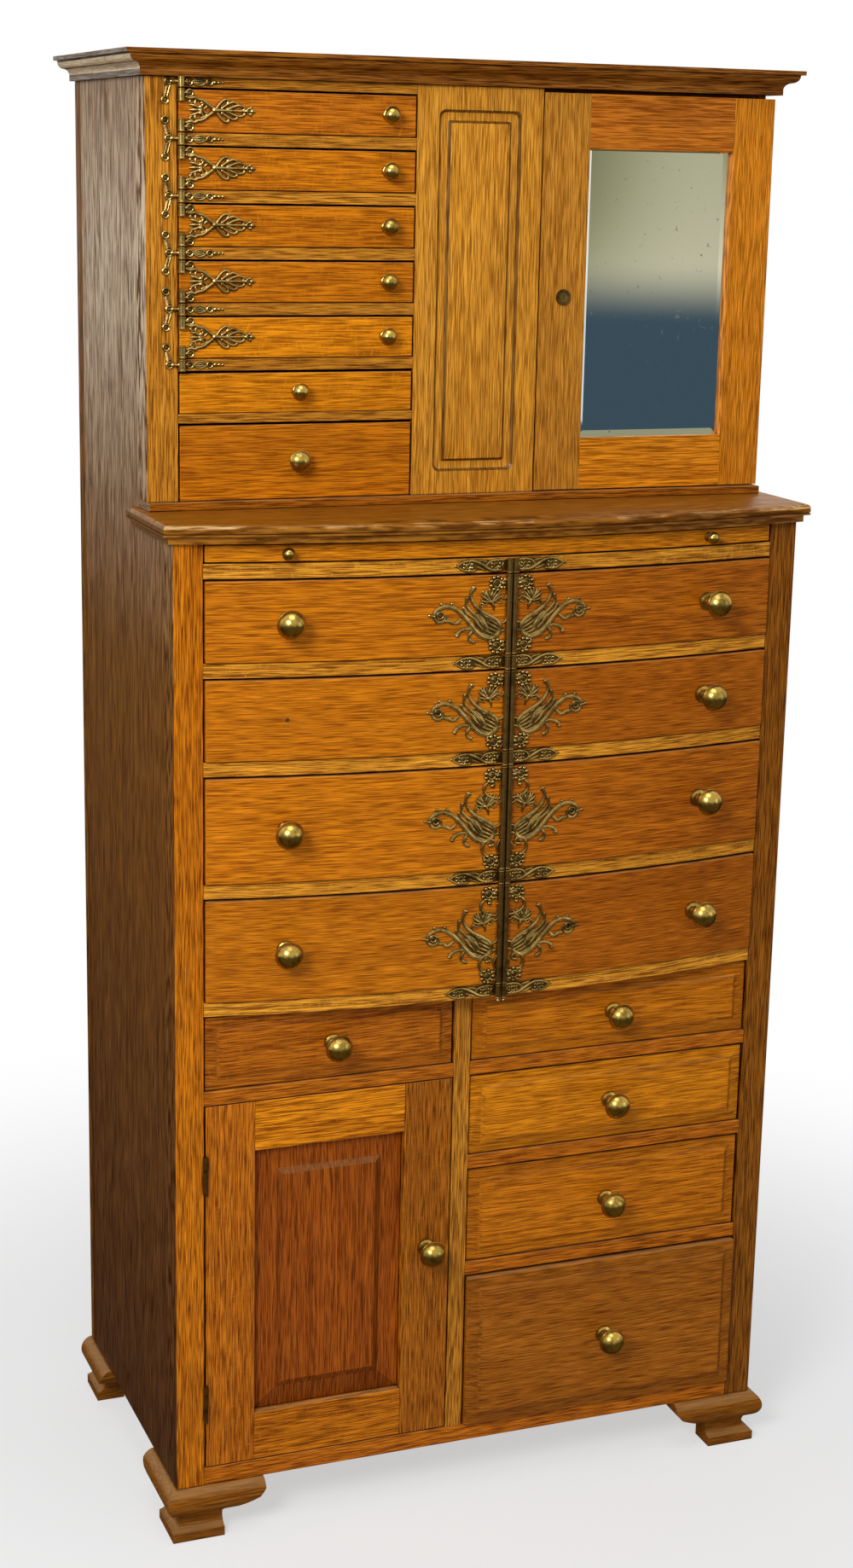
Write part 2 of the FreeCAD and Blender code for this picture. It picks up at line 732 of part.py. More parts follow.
def mirror_butts():
    """The mirror door's butt hinges, with their barrels outside the right-hand side."""
    frame_side = []
    door_side = []
    inner = half_width - butt_leaf_width
    for low, high in butt_spans(upper_floor, upper_top):
        third = (high - low) / 3
        knuckles, pin, middle = butt_knuckles(mirror_pin_x, mirror_pin_y, low, high)
        bore = rod(mirror_pin_x, mirror_pin_y, butt_pin_radius + fit_gap, low - 1, high + 1)
        clear = rod(mirror_pin_x, mirror_pin_y, butt_barrel_radius + knuckle_gap, low + third, high - third)
        leaf = box(inner, mirror_pin_x, hinge_plane - butt_leaf, hinge_plane, low, high).cut(clear)
        frame_side += [joined([leaf] + knuckles).cut(bore), pin]
        blade = box(inner, mirror_pin_x, door_back, door_back + butt_leaf,
                    low + third + knuckle_gap, high - third - knuckle_gap)
        door_side.append(joined([blade, middle]).cut(bore))
    return frame_side, door_side


def fixed_hinge_leaves():
    """All the brass that stays with the case."""
    return bow_straps() + upper_brackets() + panel_butts()[0] + mirror_butts()[0]


# Drawers
def drawer(x0, x1, floor, top, face_y, depth, fielded):
    """A drawer in the opening x0 to x1, floor to top: front, two sides, back and bottom."""
    left = x0 + drawer_gap
    right = x1 - drawer_gap
    low = floor + drawer_ride
    high = top - drawer_top_gap
    inside = face_y + front_thickness
    rear = face_y + depth
    front = box(left, right, face_y, inside, low, high)
    if fielded:
        field = raised_field(left + field_margin, right - field_margin, low + field_margin, high - field_margin,
                             face_y, field_rise, field_bevel)
        front = joined([front, field])
    side_top = high - drawer_side_drop
    sides = [box(left, left + drawer_side, inside, rear, low, side_top),
             box(right - drawer_side, right, inside, rear, low, side_top)]
    back = box(left + drawer_side, right - drawer_side, rear - drawer_back, rear, low, side_top)
    bottom = box(left + drawer_side, right - drawer_side, inside, rear - drawer_back,
                 low + bottom_lift, low + bottom_lift + drawer_bottom)
    return [front] + sides + [back, bottom]


def right_drawer(k):
    """Right-hand drawer k, counted from the bottom, with its knob; the bottom one stands a little open."""
    floor = drawer_floors[k]
    top = floor + drawer_openings[k]
    face_y = -bottom_drawer_pulled if k == 0 else 0.0
    wood = drawer(mullion_right, half_bay, floor, top, face_y, lower_drawer_depth, True)
    knob = big_knob((mullion_right + half_bay) / 2, face_y - field_rise, (floor + top) / 2)
    return wood, [knob]


def small_drawer():
    """The drawer over the panel door."""
    floor = drawer_floors[-1]
    top = floor + drawer_openings[-1]
    wood = drawer(-half_bay, mullion_left, floor, top, 0.0, lower_drawer_depth, True)
    return wood, [big_knob((mullion_left - half_bay) / 2, -field_rise, (floor + top) / 2)]


def upper_drawer(floor, opening, head):
    """One of the two plain drawers under the upper trays."""
    wood = drawer(bay_left, bay_right, floor, floor + opening, face, upper_drawer_depth, False)
    return wood, [small_knob((bay_left + bay_right) / 2, face, floor + opening / 2, head)]


def writing_slide():
    """The bow-front slide under the counter: a lipped front and a board."""
    low = slide_floor + drawer_ride
    high = counter_under - drawer_top_gap
    edge = half_bay - drawer_gap
    front = box(-edge, edge, -2 * bow_rise, post_depth, low, high).common(bow_drum(0, low, high))
    board = box(-edge, edge, post_depth, case_depth - slide_room, low, low + slide_thickness)
    foot_y = bow_y(bow_knob_x)
    knob = turned_knob(bow_knob_x, foot_y, (low + high) / 2, slide_head, slide_length, slide_rose,
                       slide_rose_thickness, slide_neck, slide_rim)
    knob = on_bow(knob, bow_knob_x, foot_y, bow_turn(bow_knob_x))
    return [front, board], [knob, mirrored(knob)]


# Swing trays
def tray_box(side_x, back_line, hinge_x, hinge_y, reach, low, high):
    """A quarter-round tray body behind a front: hinge-side wall, bent wall about the pin, and floor."""
    far = side_x + 2 * reach
    deep = case_depth - tray_room
    plan = [(side_x, back_line(side_x)), (far, back_line(far)), (far, deep), (side_x, deep)]
    outer = prism(plan, low, high).common(rod(hinge_x, hinge_y, reach, low, high))
    inner = outer.common(rod(hinge_x, hinge_y, reach - tray_wall, low, high))
    inner = inner.common(box(side_x, far, -reach, deep - tray_wall, low, high))
    bent = outer.cut(inner)
    side = inner.common(box(side_x, side_x + tray_wall, -reach, deep, low, high))
    floor = inner.common(box(side_x + tray_wall, far, -reach, deep, low, low + tray_floor))
    return [side, bent, floor]


def bow_tray(k):
    """The right-hand tray of row k, counted from the bottom: wooden pieces, then hinge and knob."""
    low = row_floors[k] + tray_gap
    high = row_floors[k] + row_openings[k] - tray_gap
    start_y = bow_y(centre_gap, tray_proud) + front_thickness
    slope = (bow_y(half_bay, tray_proud) + front_thickness - start_y) / (half_bay - centre_gap)

    def back_line(x):
        return start_y + slope * (x - centre_gap)

    deep_front = -4 * bow_rise
    blank = prism([(centre_gap, deep_front), (half_bay, deep_front), (half_bay, back_line(half_bay)),
                   (centre_gap, start_y)], low, high)
    front = blank.common(bow_drum(tray_proud, low, high))
    front = front.common(rod(bow_pin_offset, bow_pin_y, bow_reach, low, high))
    wood = [front] + tray_box(centre_gap, back_line, bow_pin_offset, bow_pin_y, bow_reach, low,
                              high - bow_wall_drop)
    middle = (low + high) / 2
    lobe = (high - low) / 2 - bow_leaf_margin - bow_lobe_radius
    boss = bow_leaf_length - bow_boss_radius
    near = bow_pin_offset + bow_lobe_radius
    arm = bow_boss_radius * 0.6
    shapes = [(near, middle - lobe, bow_lobe_radius), (near, middle + lobe, bow_lobe_radius),
              (boss, middle, bow_boss_radius), (boss / 2, middle, lobe / 2),
              [(bow_pin_offset, middle - lobe), (near, middle - lobe), (near, middle + lobe),
               (bow_pin_offset, middle + lobe)],
              [(near, middle - lobe), (boss, middle - arm), (boss, middle + arm), (near, middle + lobe)]]
    leaf = plate(shapes, 0, 3 * bow_rise).common(bow_drum(tray_proud + leaf_thickness, low, high))
    barrel = rod(bow_pin_offset, bow_pin_y, bow_barrel_radius, low, high)
    hinge = joined([leaf.cut(bow_drum(tray_proud, low - 1, high + 1)), barrel])
    hinge = hinge.cut(rod(bow_pin_offset, bow_pin_y, bow_pin_radius + fit_gap, low - 1, high + 1))
    foot_y = bow_y(bow_knob_x, tray_proud)
    knob = on_bow(big_knob(bow_knob_x, foot_y, middle), bow_knob_x, foot_y, bow_turn(bow_knob_x, tray_proud))
    return wood, [hinge, knob]


def upper_tray(k):
    """Upper swing tray k, counted from the bottom, hinged at its left end."""
    low = tray_floors[k] + tray_gap
    high = tray_floors[k] + tray_opening - tray_gap
    side_x = bay_left + tray_gap
    front_y = face - upper_tray_proud
    back_y = face + front_thickness
    front = box(side_x, bay_right, front_y, back_y, low, high)
    front = front.common(rod(upper_pin_x, upper_pin_y, upper_reach, low, high))
    wood = [front] + tray_box(side_x, lambda x: back_y, upper_pin_x, upper_pin_y, upper_reach, low,
                              high - upper_wall_drop)
    middle = (low + high) / 2
    lift = (high - low) / 2 - upper_boss_radius
    boss_x = upper_pin_x + upper_boss_offset
    tip = upper_pin_x + upper_leaf_length
    waist = upper_pin_x + upper_leaf_length * 0.45
    fan = upper_pin_x + upper_leaf_length * 0.68
    thin = upper_boss_radius / 2
    shapes = [(boss_x, middle - lift, upper_boss_radius), (boss_x, middle + lift, upper_boss_radius),
              (fan, middle, upper_fan_half), (tip - upper_boss_radius, middle, upper_boss_radius),
              [(waist, middle - thin), (fan, middle - upper_fan_half), (tip - upper_boss_radius, middle),
               (fan, middle + upper_fan_half), (waist, middle + thin)]]
    for way in (-1, 1):
        end = middle + way * lift
        shapes.append([(upper_pin_x, end - thin), (boss_x, end - thin),
                       (boss_x, end + thin), (upper_pin_x, end + thin)])
        shapes.append([(boss_x - thin, end), (boss_x + thin, end),
                       (waist + thin, middle), (waist - thin, middle)])
    leaf = plate(shapes, front_y, leaf_thickness)
    knuckles = [rod(upper_pin_x, upper_pin_y, upper_barrel_radius, low, low + upper_knuckle),
                rod(upper_pin_x, upper_pin_y, upper_barrel_radius, high - upper_knuckle, high)]
    hinge = joined([leaf] + knuckles)
    hinge = hinge.cut(rod(upper_pin_x, upper_pin_y, upper_pin_radius + fit_gap, low - 1, high + 1))
    return wood, [hinge, small_knob(bay_right - tray_knob_inset, front_y, middle, small_head)]


# Doors
def framed(x0, x1, z0, z1, y0, y1, left, right, low, high):
    """Two stiles at full height and two rails between them."""
    return [box(x0, x0 + left, y0, y1, z0, z1), box(x1 - right, x1, y0, y1, z0, z1),
            box(x0 + left, x1 - right, y0, y1, z0, z0 + low), box(x0 + left, x1 - right, y0, y1, z1 - high, z1)]


def panel_door():
    """The lower door: frame, raised panel, and its brass."""
    floor, top = door_opening()
    left = -half_bay + door_hinge_gap
    right = mullion_left - door_gap
    low = floor + door_gap
    high = top - door_gap
    frame = framed(left, right, low, high, 0, door_thickness, door_stile, door_stile, door_rail, door_rail)
    x0 = left + door_stile
    x1 = right - door_stile
    z0 = low + door_rail
    z1 = high - door_rail
    slab = box(x0, x1, panel_recess, panel_recess + panel_slab, z0, z1)
    field = raised_field(x0 + panel_margin, x1 - panel_margin, z0 + panel_margin, z1 - panel_margin,
                         panel_recess, panel_rise, panel_rise)
    knob = big_knob(right - door_stile / 2, 0, floor + door_knob_height)
    return frame, [joined([slab, field])], panel_butts()[1] + [knob]


def mirror_door():
    """The upper door: frame with backing, mirror plate, hinge leaves with the lock's case, and the lock."""
    low = upper_floor + door_gap
    high = upper_top - door_gap
    left = panel_right + door_gap
    frame = framed(left, half_width, low, high, face, door_back, mirror_stile, mirror_hinge_stile,
                   mirror_bottom_rail, mirror_top_rail)
    hole = stud(lock_x, lock_z, lock_case_radius, face - 1, door_back + 1)
    frame[0] = frame[0].cut(hole)
    x0 = left + mirror_stile
    x1 = half_width - mirror_hinge_stile
    z0 = low + mirror_bottom_rail
    z1 = high - mirror_top_rail
    glass_y = face + mirror_recess
    glass_back = glass_y + mirror_plate
    glass = box(x0, x1, glass_y, glass_back, z0, z1)
    frame.append(box(x0, x1, glass_back, glass_back + mirror_backing, z0, z1))
    housing = joined([stud(lock_x, lock_z, lock_case_radius, face - lock_flange, door_back),
                      stud(lock_x, lock_z, lock_flange_radius, face - lock_flange, face)])
    housing = housing.cut(stud(lock_x, lock_z, plug_radius + fit_gap, face - lock_flange - 1, door_back + 1))
    cam_front = door_back + cam_gap
    cam = box(lock_x - cam_width / 2, lock_x + cam_width / 2, cam_front, cam_front + cam_thickness,
              lock_z - cam_width / 2, lock_z + cam_length)
    plug = stud(lock_x, lock_z, plug_radius, face - lock_flange, cam_front)
    return frame, [glass], mirror_butts()[1] + [housing], [plug, cam]


def all_nodes():
    """Every node's solids, by name."""
    nodes = {
        "case_sides": case_sides(),
        "back_board": back_board(),
        "lower_face_frame": lower_face_frame(),
        "bow_rails": bow_rails(),
        "inner_boards": inner_boards(),
        "counter_top": counter_top(),
        "upper_face_frame": upper_face_frame(),
        "centre_panel": centre_panel(),
        "cornice": cornice(),
        "feet": feet(),
        "fixed_hinge_leaves": fixed_hinge_leaves(),
    }
    for k in range(len(drawer_openings)):
        name = "right_drawer_%d" % (len(drawer_openings) - k)
        nodes[name], nodes[name + "_knob"] = right_drawer(k)
    nodes["small_drawer"], nodes["small_drawer_knob"] = small_drawer()
    upper_drawers = {"upper_drawer_a": (drawer_a_floor, drawer_a_opening, small_head),
                     "upper_drawer_b": (upper_floor, drawer_b_opening, middle_head)}
    for name, (floor, opening, head) in upper_drawers.items():
        nodes[name], nodes[name + "_knob"] = upper_drawer(floor, opening, head)
    nodes["writing_slide"], nodes["writing_slide_knobs"] = writing_slide()
    for k in range(upper_trays):
        name = "upper_tray_%d" % (upper_trays - k)
        nodes[name], nodes[name + "_brass"] = upper_tray(k)
    for k in range(len(row_openings)):
        row = len(row_openings) - k
        wood, brass = bow_tray(k)
        left_brass = brass[:1] if row == 2 else brass
        nodes["bow_tray_right_%d" % row] = wood
        nodes["bow_tray_right_%d_brass" % row] = brass
        nodes["bow_tray_left_%d" % row] = [mirrored(piece) for piece in wood]
        nodes["bow_tray_left_%d_brass" % row] = [mirrored(piece) for piece in left_brass]
    nodes["panel_door_frame"], nodes["door_panel"], nodes["panel_door_brass"] = panel_door()
    frame, glass, brass, plug = mirror_door()
    nodes["mirror_door_frame"] = frame
    nodes["mirror_plate"] = glass
    nodes["mirror_door_brass"] = brass
    nodes["lock_plug"] = plug
    return nodes


def main():
    """Write one STEP file for each node."""
    os.makedirs("parts", exist_ok=True)
    for name, solids in all_nodes().items():
        group = solids[0].copy() if len(solids) == 1 else Part.makeCompound(solids)
        group.translate(to_origin)
        group.exportStep("parts/%s.step" % name)


if __name__ == "__main__":
    main()
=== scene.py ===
"""Looks of an oak dental cabinet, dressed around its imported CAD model.

Metres, in the CAD model's own frame: +Z is up, +X is to the right of someone who faces the cabinet,
and -Y is to the front. Sizes that are easier to read in millimetres pass through mm().
"""

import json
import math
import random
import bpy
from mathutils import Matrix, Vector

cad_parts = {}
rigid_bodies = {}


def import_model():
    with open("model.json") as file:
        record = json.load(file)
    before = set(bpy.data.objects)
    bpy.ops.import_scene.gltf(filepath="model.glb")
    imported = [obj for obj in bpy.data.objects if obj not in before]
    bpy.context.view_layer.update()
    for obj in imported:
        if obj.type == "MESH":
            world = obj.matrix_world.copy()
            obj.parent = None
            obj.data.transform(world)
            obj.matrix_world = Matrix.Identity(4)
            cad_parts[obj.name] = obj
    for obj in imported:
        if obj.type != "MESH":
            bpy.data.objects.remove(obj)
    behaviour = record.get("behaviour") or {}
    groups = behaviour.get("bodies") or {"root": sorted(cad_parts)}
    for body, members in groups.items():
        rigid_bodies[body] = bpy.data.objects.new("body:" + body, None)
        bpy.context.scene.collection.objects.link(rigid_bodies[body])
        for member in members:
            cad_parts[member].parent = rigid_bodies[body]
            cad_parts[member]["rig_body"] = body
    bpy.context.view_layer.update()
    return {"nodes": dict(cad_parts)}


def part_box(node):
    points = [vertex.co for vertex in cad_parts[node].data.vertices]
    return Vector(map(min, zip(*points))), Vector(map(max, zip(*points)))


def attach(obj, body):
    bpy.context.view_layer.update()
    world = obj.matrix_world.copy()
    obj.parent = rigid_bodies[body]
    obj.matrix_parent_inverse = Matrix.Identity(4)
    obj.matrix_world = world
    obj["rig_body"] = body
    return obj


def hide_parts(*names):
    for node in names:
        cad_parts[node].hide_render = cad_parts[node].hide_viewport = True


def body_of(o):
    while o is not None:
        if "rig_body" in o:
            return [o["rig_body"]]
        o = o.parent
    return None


bl_info = {
    "name": "Oak Dental Cabinet",
    "version": (1, 0, 0),
    "blender": (4, 5, 0),
    "location": "View3D > Sidebar > Cabinet",
    "description": "Builds the looks of an oak dental cabinet around its CAD model",
    "category": "Add Mesh",
}

import bmesh
import bpy
from mathutils import Matrix, Vector

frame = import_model()


def mm(value):
    """Millimetres as metres."""
    return value / 1000


# Lines read from the frame
face_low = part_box("lower_face_frame")[0]
face_y = face_low.y
side_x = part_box("case_sides")[1].x
seam_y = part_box("case_sides")[1].y - mm(11)
rails_low, rails_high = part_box("bow_rails")
half_bay = rails_high.x
bow_rise = face_y - rails_low.y
bow_radius = (half_bay ** 2 + bow_rise ** 2) / (2 * bow_rise)
bow_centre_y = rails_low.y + bow_radius
tray_proud = rails_low.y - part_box("bow_tray_right_1")[0].y
upper_face_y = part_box("centre_panel")[0].y
bow_barrel = mm(3.2)
bow_pin_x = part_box("bow_tray_right_1_brass")[0].x + bow_barrel
bow_pin_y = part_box("bow_tray_left_2_brass")[0].y + bow_barrel
bow_knob_x = mm(242.5)
bow_rail = mm(16)
tray_gap = mm(0.8)
upper_barrel = mm(4)
upper_knuckle = mm(13)
upper_tray_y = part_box("upper_tray_1")[0].y
upper_pin_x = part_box("upper_tray_1_brass")[0].x + upper_barrel
upper_pin_y = upper_tray_y - upper_barrel
door_knob_lift = mm(15)
ROWS = range(1, 5)
UPPER_TRAYS = range(1, 6)
SIDES = (("left", -1), ("right", 1))
# Half the height in millimetres past which a row is a tall one
TALL_ROW = 50
# The tray that has lost its knob
BARE_TRAY = "bow_tray_left_2"
# The number of the bent wall among a swing tray's boards
BENT_WALL = 2
# Angles past which an edge is sharp, is sharp round a raised field, and has its arris softened
SHARP_EDGE = math.radians(28)
FIELD_EDGE = math.radians(8)
ARRIS_EDGE = math.radians(30)
# How near to a line still counts as on it
NEAR = mm(0.1)


class CabinetSizes(bpy.types.PropertyGroup):
    """Sizes of the details that the CAD model leaves to the looks."""

    arris: bpy.props.FloatProperty(
        name="Arris", description="Width of the softened edge on every board",
        default=mm(0.8), unit="LENGTH")
    pore_length: bpy.props.FloatProperty(
        name="Pore length", description="Length of one dark pore in the oak",
        default=mm(30), unit="LENGTH")
    streak_length: bpy.props.FloatProperty(
        name="Streak length", description="Length of one streak of the oak's grain",
        default=mm(230), unit="LENGTH")
    front_arris: bpy.props.FloatProperty(
        name="Front arris", description="Width of the softened edge on drawer and tray fronts",
        default=mm(1.3), unit="LENGTH")
    front_gap: bpy.props.FloatProperty(
        name="Front gap", description="How much is planed off the top of drawer and tray fronts",
        default=mm(1.2), unit="LENGTH")
    field_slope: bpy.props.FloatProperty(
        name="Field slope", description="Extra width of the slope round a raised field",
        default=mm(2.6), unit="LENGTH")
    field_fall: bpy.props.FloatProperty(
        name="Field fall", description="How far the margin round a raised field falls back to the edges",
        default=mm(3.2), unit="LENGTH")
    groove_slope: bpy.props.FloatProperty(
        name="Groove slope", description="Width of the slopes in the centre panel's groove",
        default=mm(2.6), unit="LENGTH")
    ring_spacing: bpy.props.FloatProperty(
        name="Ring spacing", description="Distance between two growth rings of the oak",
        default=mm(7), unit="LENGTH")
    camera_distance: bpy.props.FloatVectorProperty(
        name="Camera place", description="Camera from the lower case's front left bottom corner",
        default=(-0.67255, -2.43576, 1.44790), subtype="TRANSLATION")
    camera_yaw: bpy.props.FloatProperty(
        name="Camera yaw", description="How far the camera looks to the right",
        default=math.radians(-21.405), subtype="ANGLE")
    camera_pitch: bpy.props.FloatProperty(
        name="Camera pitch", description="How far the camera looks down",
        default=math.radians(14.023), subtype="ANGLE")
    camera_roll: bpy.props.FloatProperty(
        name="Camera roll", description="How far the camera leans",
        default=math.radians(1.187), subtype="ANGLE")
    camera_height_angle: bpy.props.FloatProperty(
        name="Camera angle", description="The camera's angle of view, bottom to top",
        default=2 * math.atan(1838 / 2 / 2921.65), subtype="ANGLE")


class CabinetColours(bpy.types.PropertyGroup):
    """Finishes that a user would change, as sRGB hex values."""

    honey: bpy.props.StringProperty(
        name="Honey oak", description="Stain of most swing trays and drawers, and of the left post",
        default="#c8770c")
    straw: bpy.props.StringProperty(
        name="Straw oak", description="Stain of the bowed rails, the centre panel and other pale boards",
        default="#d8962c")
    tawny: bpy.props.StringProperty(
        name="Tawny oak", description="Stain of the brighter drawer fronts and door rails", default="#da880e")
    golden: bpy.props.StringProperty(
        name="Golden oak", description="Stain of the upper rails and the mirror door's stile",
        default="#bf8126")
    amber: bpy.props.StringProperty(
        name="Amber oak", description="Stain of the lower frame and its redder fronts", default="#bf6f12")
    # Painted shade: a darker honey for the right-hand bow trays, where less light falls
    shaded_honey: bpy.props.StringProperty(
        name="Copper oak", description="Stain of the right-hand bow trays", default="#b4650c")
    umber: bpy.props.StringProperty(
        name="Umber oak", description="Stain of the darker boards", default="#a86414")
    russet: bpy.props.StringProperty(
        name="Russet oak", description="Stain of the door's panel", default="#9c500d")
    brown: bpy.props.StringProperty(
        name="Brown oak", description="Dull stain of the sides and the back", default="#7a4d0e")
    # On the right-hand post this darker colour is painted shade
    chestnut: bpy.props.StringProperty(
        name="Chestnut oak", description="Stain of the cornice, the feet and the right-hand post",
        default="#8c5510")
    hazel: bpy.props.StringProperty(
        name="Hazel oak", description="Stain of the counter", default="#955e16")
    # Painted sheen: the pale colour of the reflection painted on the upper sides and on the hollow of the
    # cornice's left return
    sheen_painted: bpy.props.StringProperty(
        name="Sheen oak", description="The cornice's left return and the upper sides, bleached by light",
        default="#e0c9a8")
    # The fillets beside the painted reflection on the cornice's left return are painted darker
    dark_fillet: bpy.props.StringProperty(
        name="Darkened oak", description="Dark fillets of the cornice's left return", default="#4c4034")
    bare: bpy.props.StringProperty(
        name="Bare oak", description="Unstained inside of the trays and drawers, dust and worn edges",
        default="#c9a06a")


def cabinet_sizes():
    """The sizes in use."""
    return bpy.context.scene.cabinet_sizes


def cabinet_colours():
    """The colours in use."""
    return bpy.context.scene.cabinet_colours


def linear(colour):
    """An sRGB hex colour as the linear values that shaders take."""
    channels = [int(colour[i:i + 2], 16) / 255 for i in (1, 3, 5)]
    return [c / 12.92 if c <= 0.04045 else ((c + 0.055) / 1.055) ** 2.4 for c in channels] + [1.0]


def add(tree, kind, settings=None, out=None, stops=(), **links):
    """Adds a shader node and gives the output named out, or else its first one.

    Settings is a dict, or just the name of an operation. Stops are the places and colours of a colour
    ramp. Links set or link inputs, each by its name or by its number after an underscore.
    """
    node = tree.nodes.new("ShaderNode" + kind)
    if isinstance(settings, str):
        settings = {"operation": settings}
    for name, value in (settings or {}).items():
        setattr(node, name, value)
    for name, value in links.items():
        named = [each for each in node.inputs if each.enabled and each.name == name.replace("_", " ")]
        socket = node.inputs[int(name[1:])] if name[0] == "_" else named[0]
        if isinstance(value, bpy.types.NodeSocket):
            tree.links.new(value, socket)
        else:
            socket.default_value = value
    if stops:
        elements = node.color_ramp.elements
        while len(elements) < len(stops):
            elements.new(1.0)
        for element, (place, colour) in zip(elements, stops):
            element.position = place
            element.color = colour
    usable = [each for each in node.outputs if each.enabled]
    return node.outputs[out] if out else usable[0] if usable else node


def new_material(name):
    """A material and its empty node tree."""
    material = bpy.data.materials.new(name)
    material.use_nodes = True
    material.node_tree.nodes.clear()
    return material, material.node_tree


def grey(value):
    """A grey of that linear strength."""
    return (value, value, value, 1.0)


# Settings that many nodes share
BLENDED = {"data_type": "RGBA"}
MULTIPLIED = {"data_type": "RGBA", "blend_type": "MULTIPLY"}
SMOOTH = {"interpolation_type": "SMOOTHSTEP"}
RINGS = {"wave_type": "RINGS", "rings_direction": "X", "wave_profile": "SAW"}
# A wave texture of scale 1 repeats after this many metres
WAVE = 0.314
# What each layer of the grain multiplies the stain by, at places along the layer's strength
BAND_TONES = ((0.34, (0.86, 0.82, 0.76, 1)), (0.62, grey(1.04)))
RING_TONES = ((0.0, grey(1.0)), (0.72, (0.97, 0.96, 0.94, 1)), (1.0, (0.84, 0.78, 0.70, 1)))
STREAK_TONES = ((0.36, (0.82, 0.75, 0.66, 1)), (0.48, (0.95, 0.93, 0.90, 1)),
                (0.60, (1.07, 1.07, 1.05, 1)))
PORE_TONES = ((0.41, (0.36, 0.27, 0.17, 1)), (0.47, (0.80, 0.72, 0.61, 1)), (0.54, grey(1.0)),
              (0.60, (1.34, 1.34, 1.30, 1)))
FLECK_TONE = (1.15, 1.18, 1.4, 1)
FLECK_STEPS = ((0.56, grey(0.0)), (0.72, grey(1.0)))
# Painted shade where a corner or gap closes in on oak, patina in the hollows of brass, and the sides' colour
# darker towards the bottom, by height in metres
CORNER_SHADE_TONES = ((0.25, (0.16, 0.11, 0.06, 1)), (0.72, grey(1.0)))
PATINA_TONES = ((0.12, (0.16, 0.11, 0.06, 1)), (0.52, grey(1.0)))
LOW_DARKENING_TONES = ((0.1, (0.44, 0.35, 0.12, 1)), (0.8, (0.96, 0.9, 0.6, 1)), (0.95, grey(1.0)))
# Heights between which the sides' sheen and painted sheen rise, and between which the cornice shades them
# again, and the share of the painted sheen in the colour
SHEEN_LOW, SHEEN_HIGH = 0.95, 1.4
SHADE_LOW, SHADE_HIGH = 1.42, 1.58
PAINTED_SHEEN_SHARE = 0.78
# Wear begins this far from the middle, or where a patch is this strong, on faces that slant upwards
WORN_FROM, WORN_TO = 0.325, 0.345
PATCH_FROM, PATCH_TO = 0.5, 0.62
SLANTS = ((0.06, grey(0.0)), (0.3, grey(1.0)), (0.9, grey(1.0)), (0.99, grey(0.0)))
VARNISH_TINT = (1.0, 0.9, 0.76, 1.0)


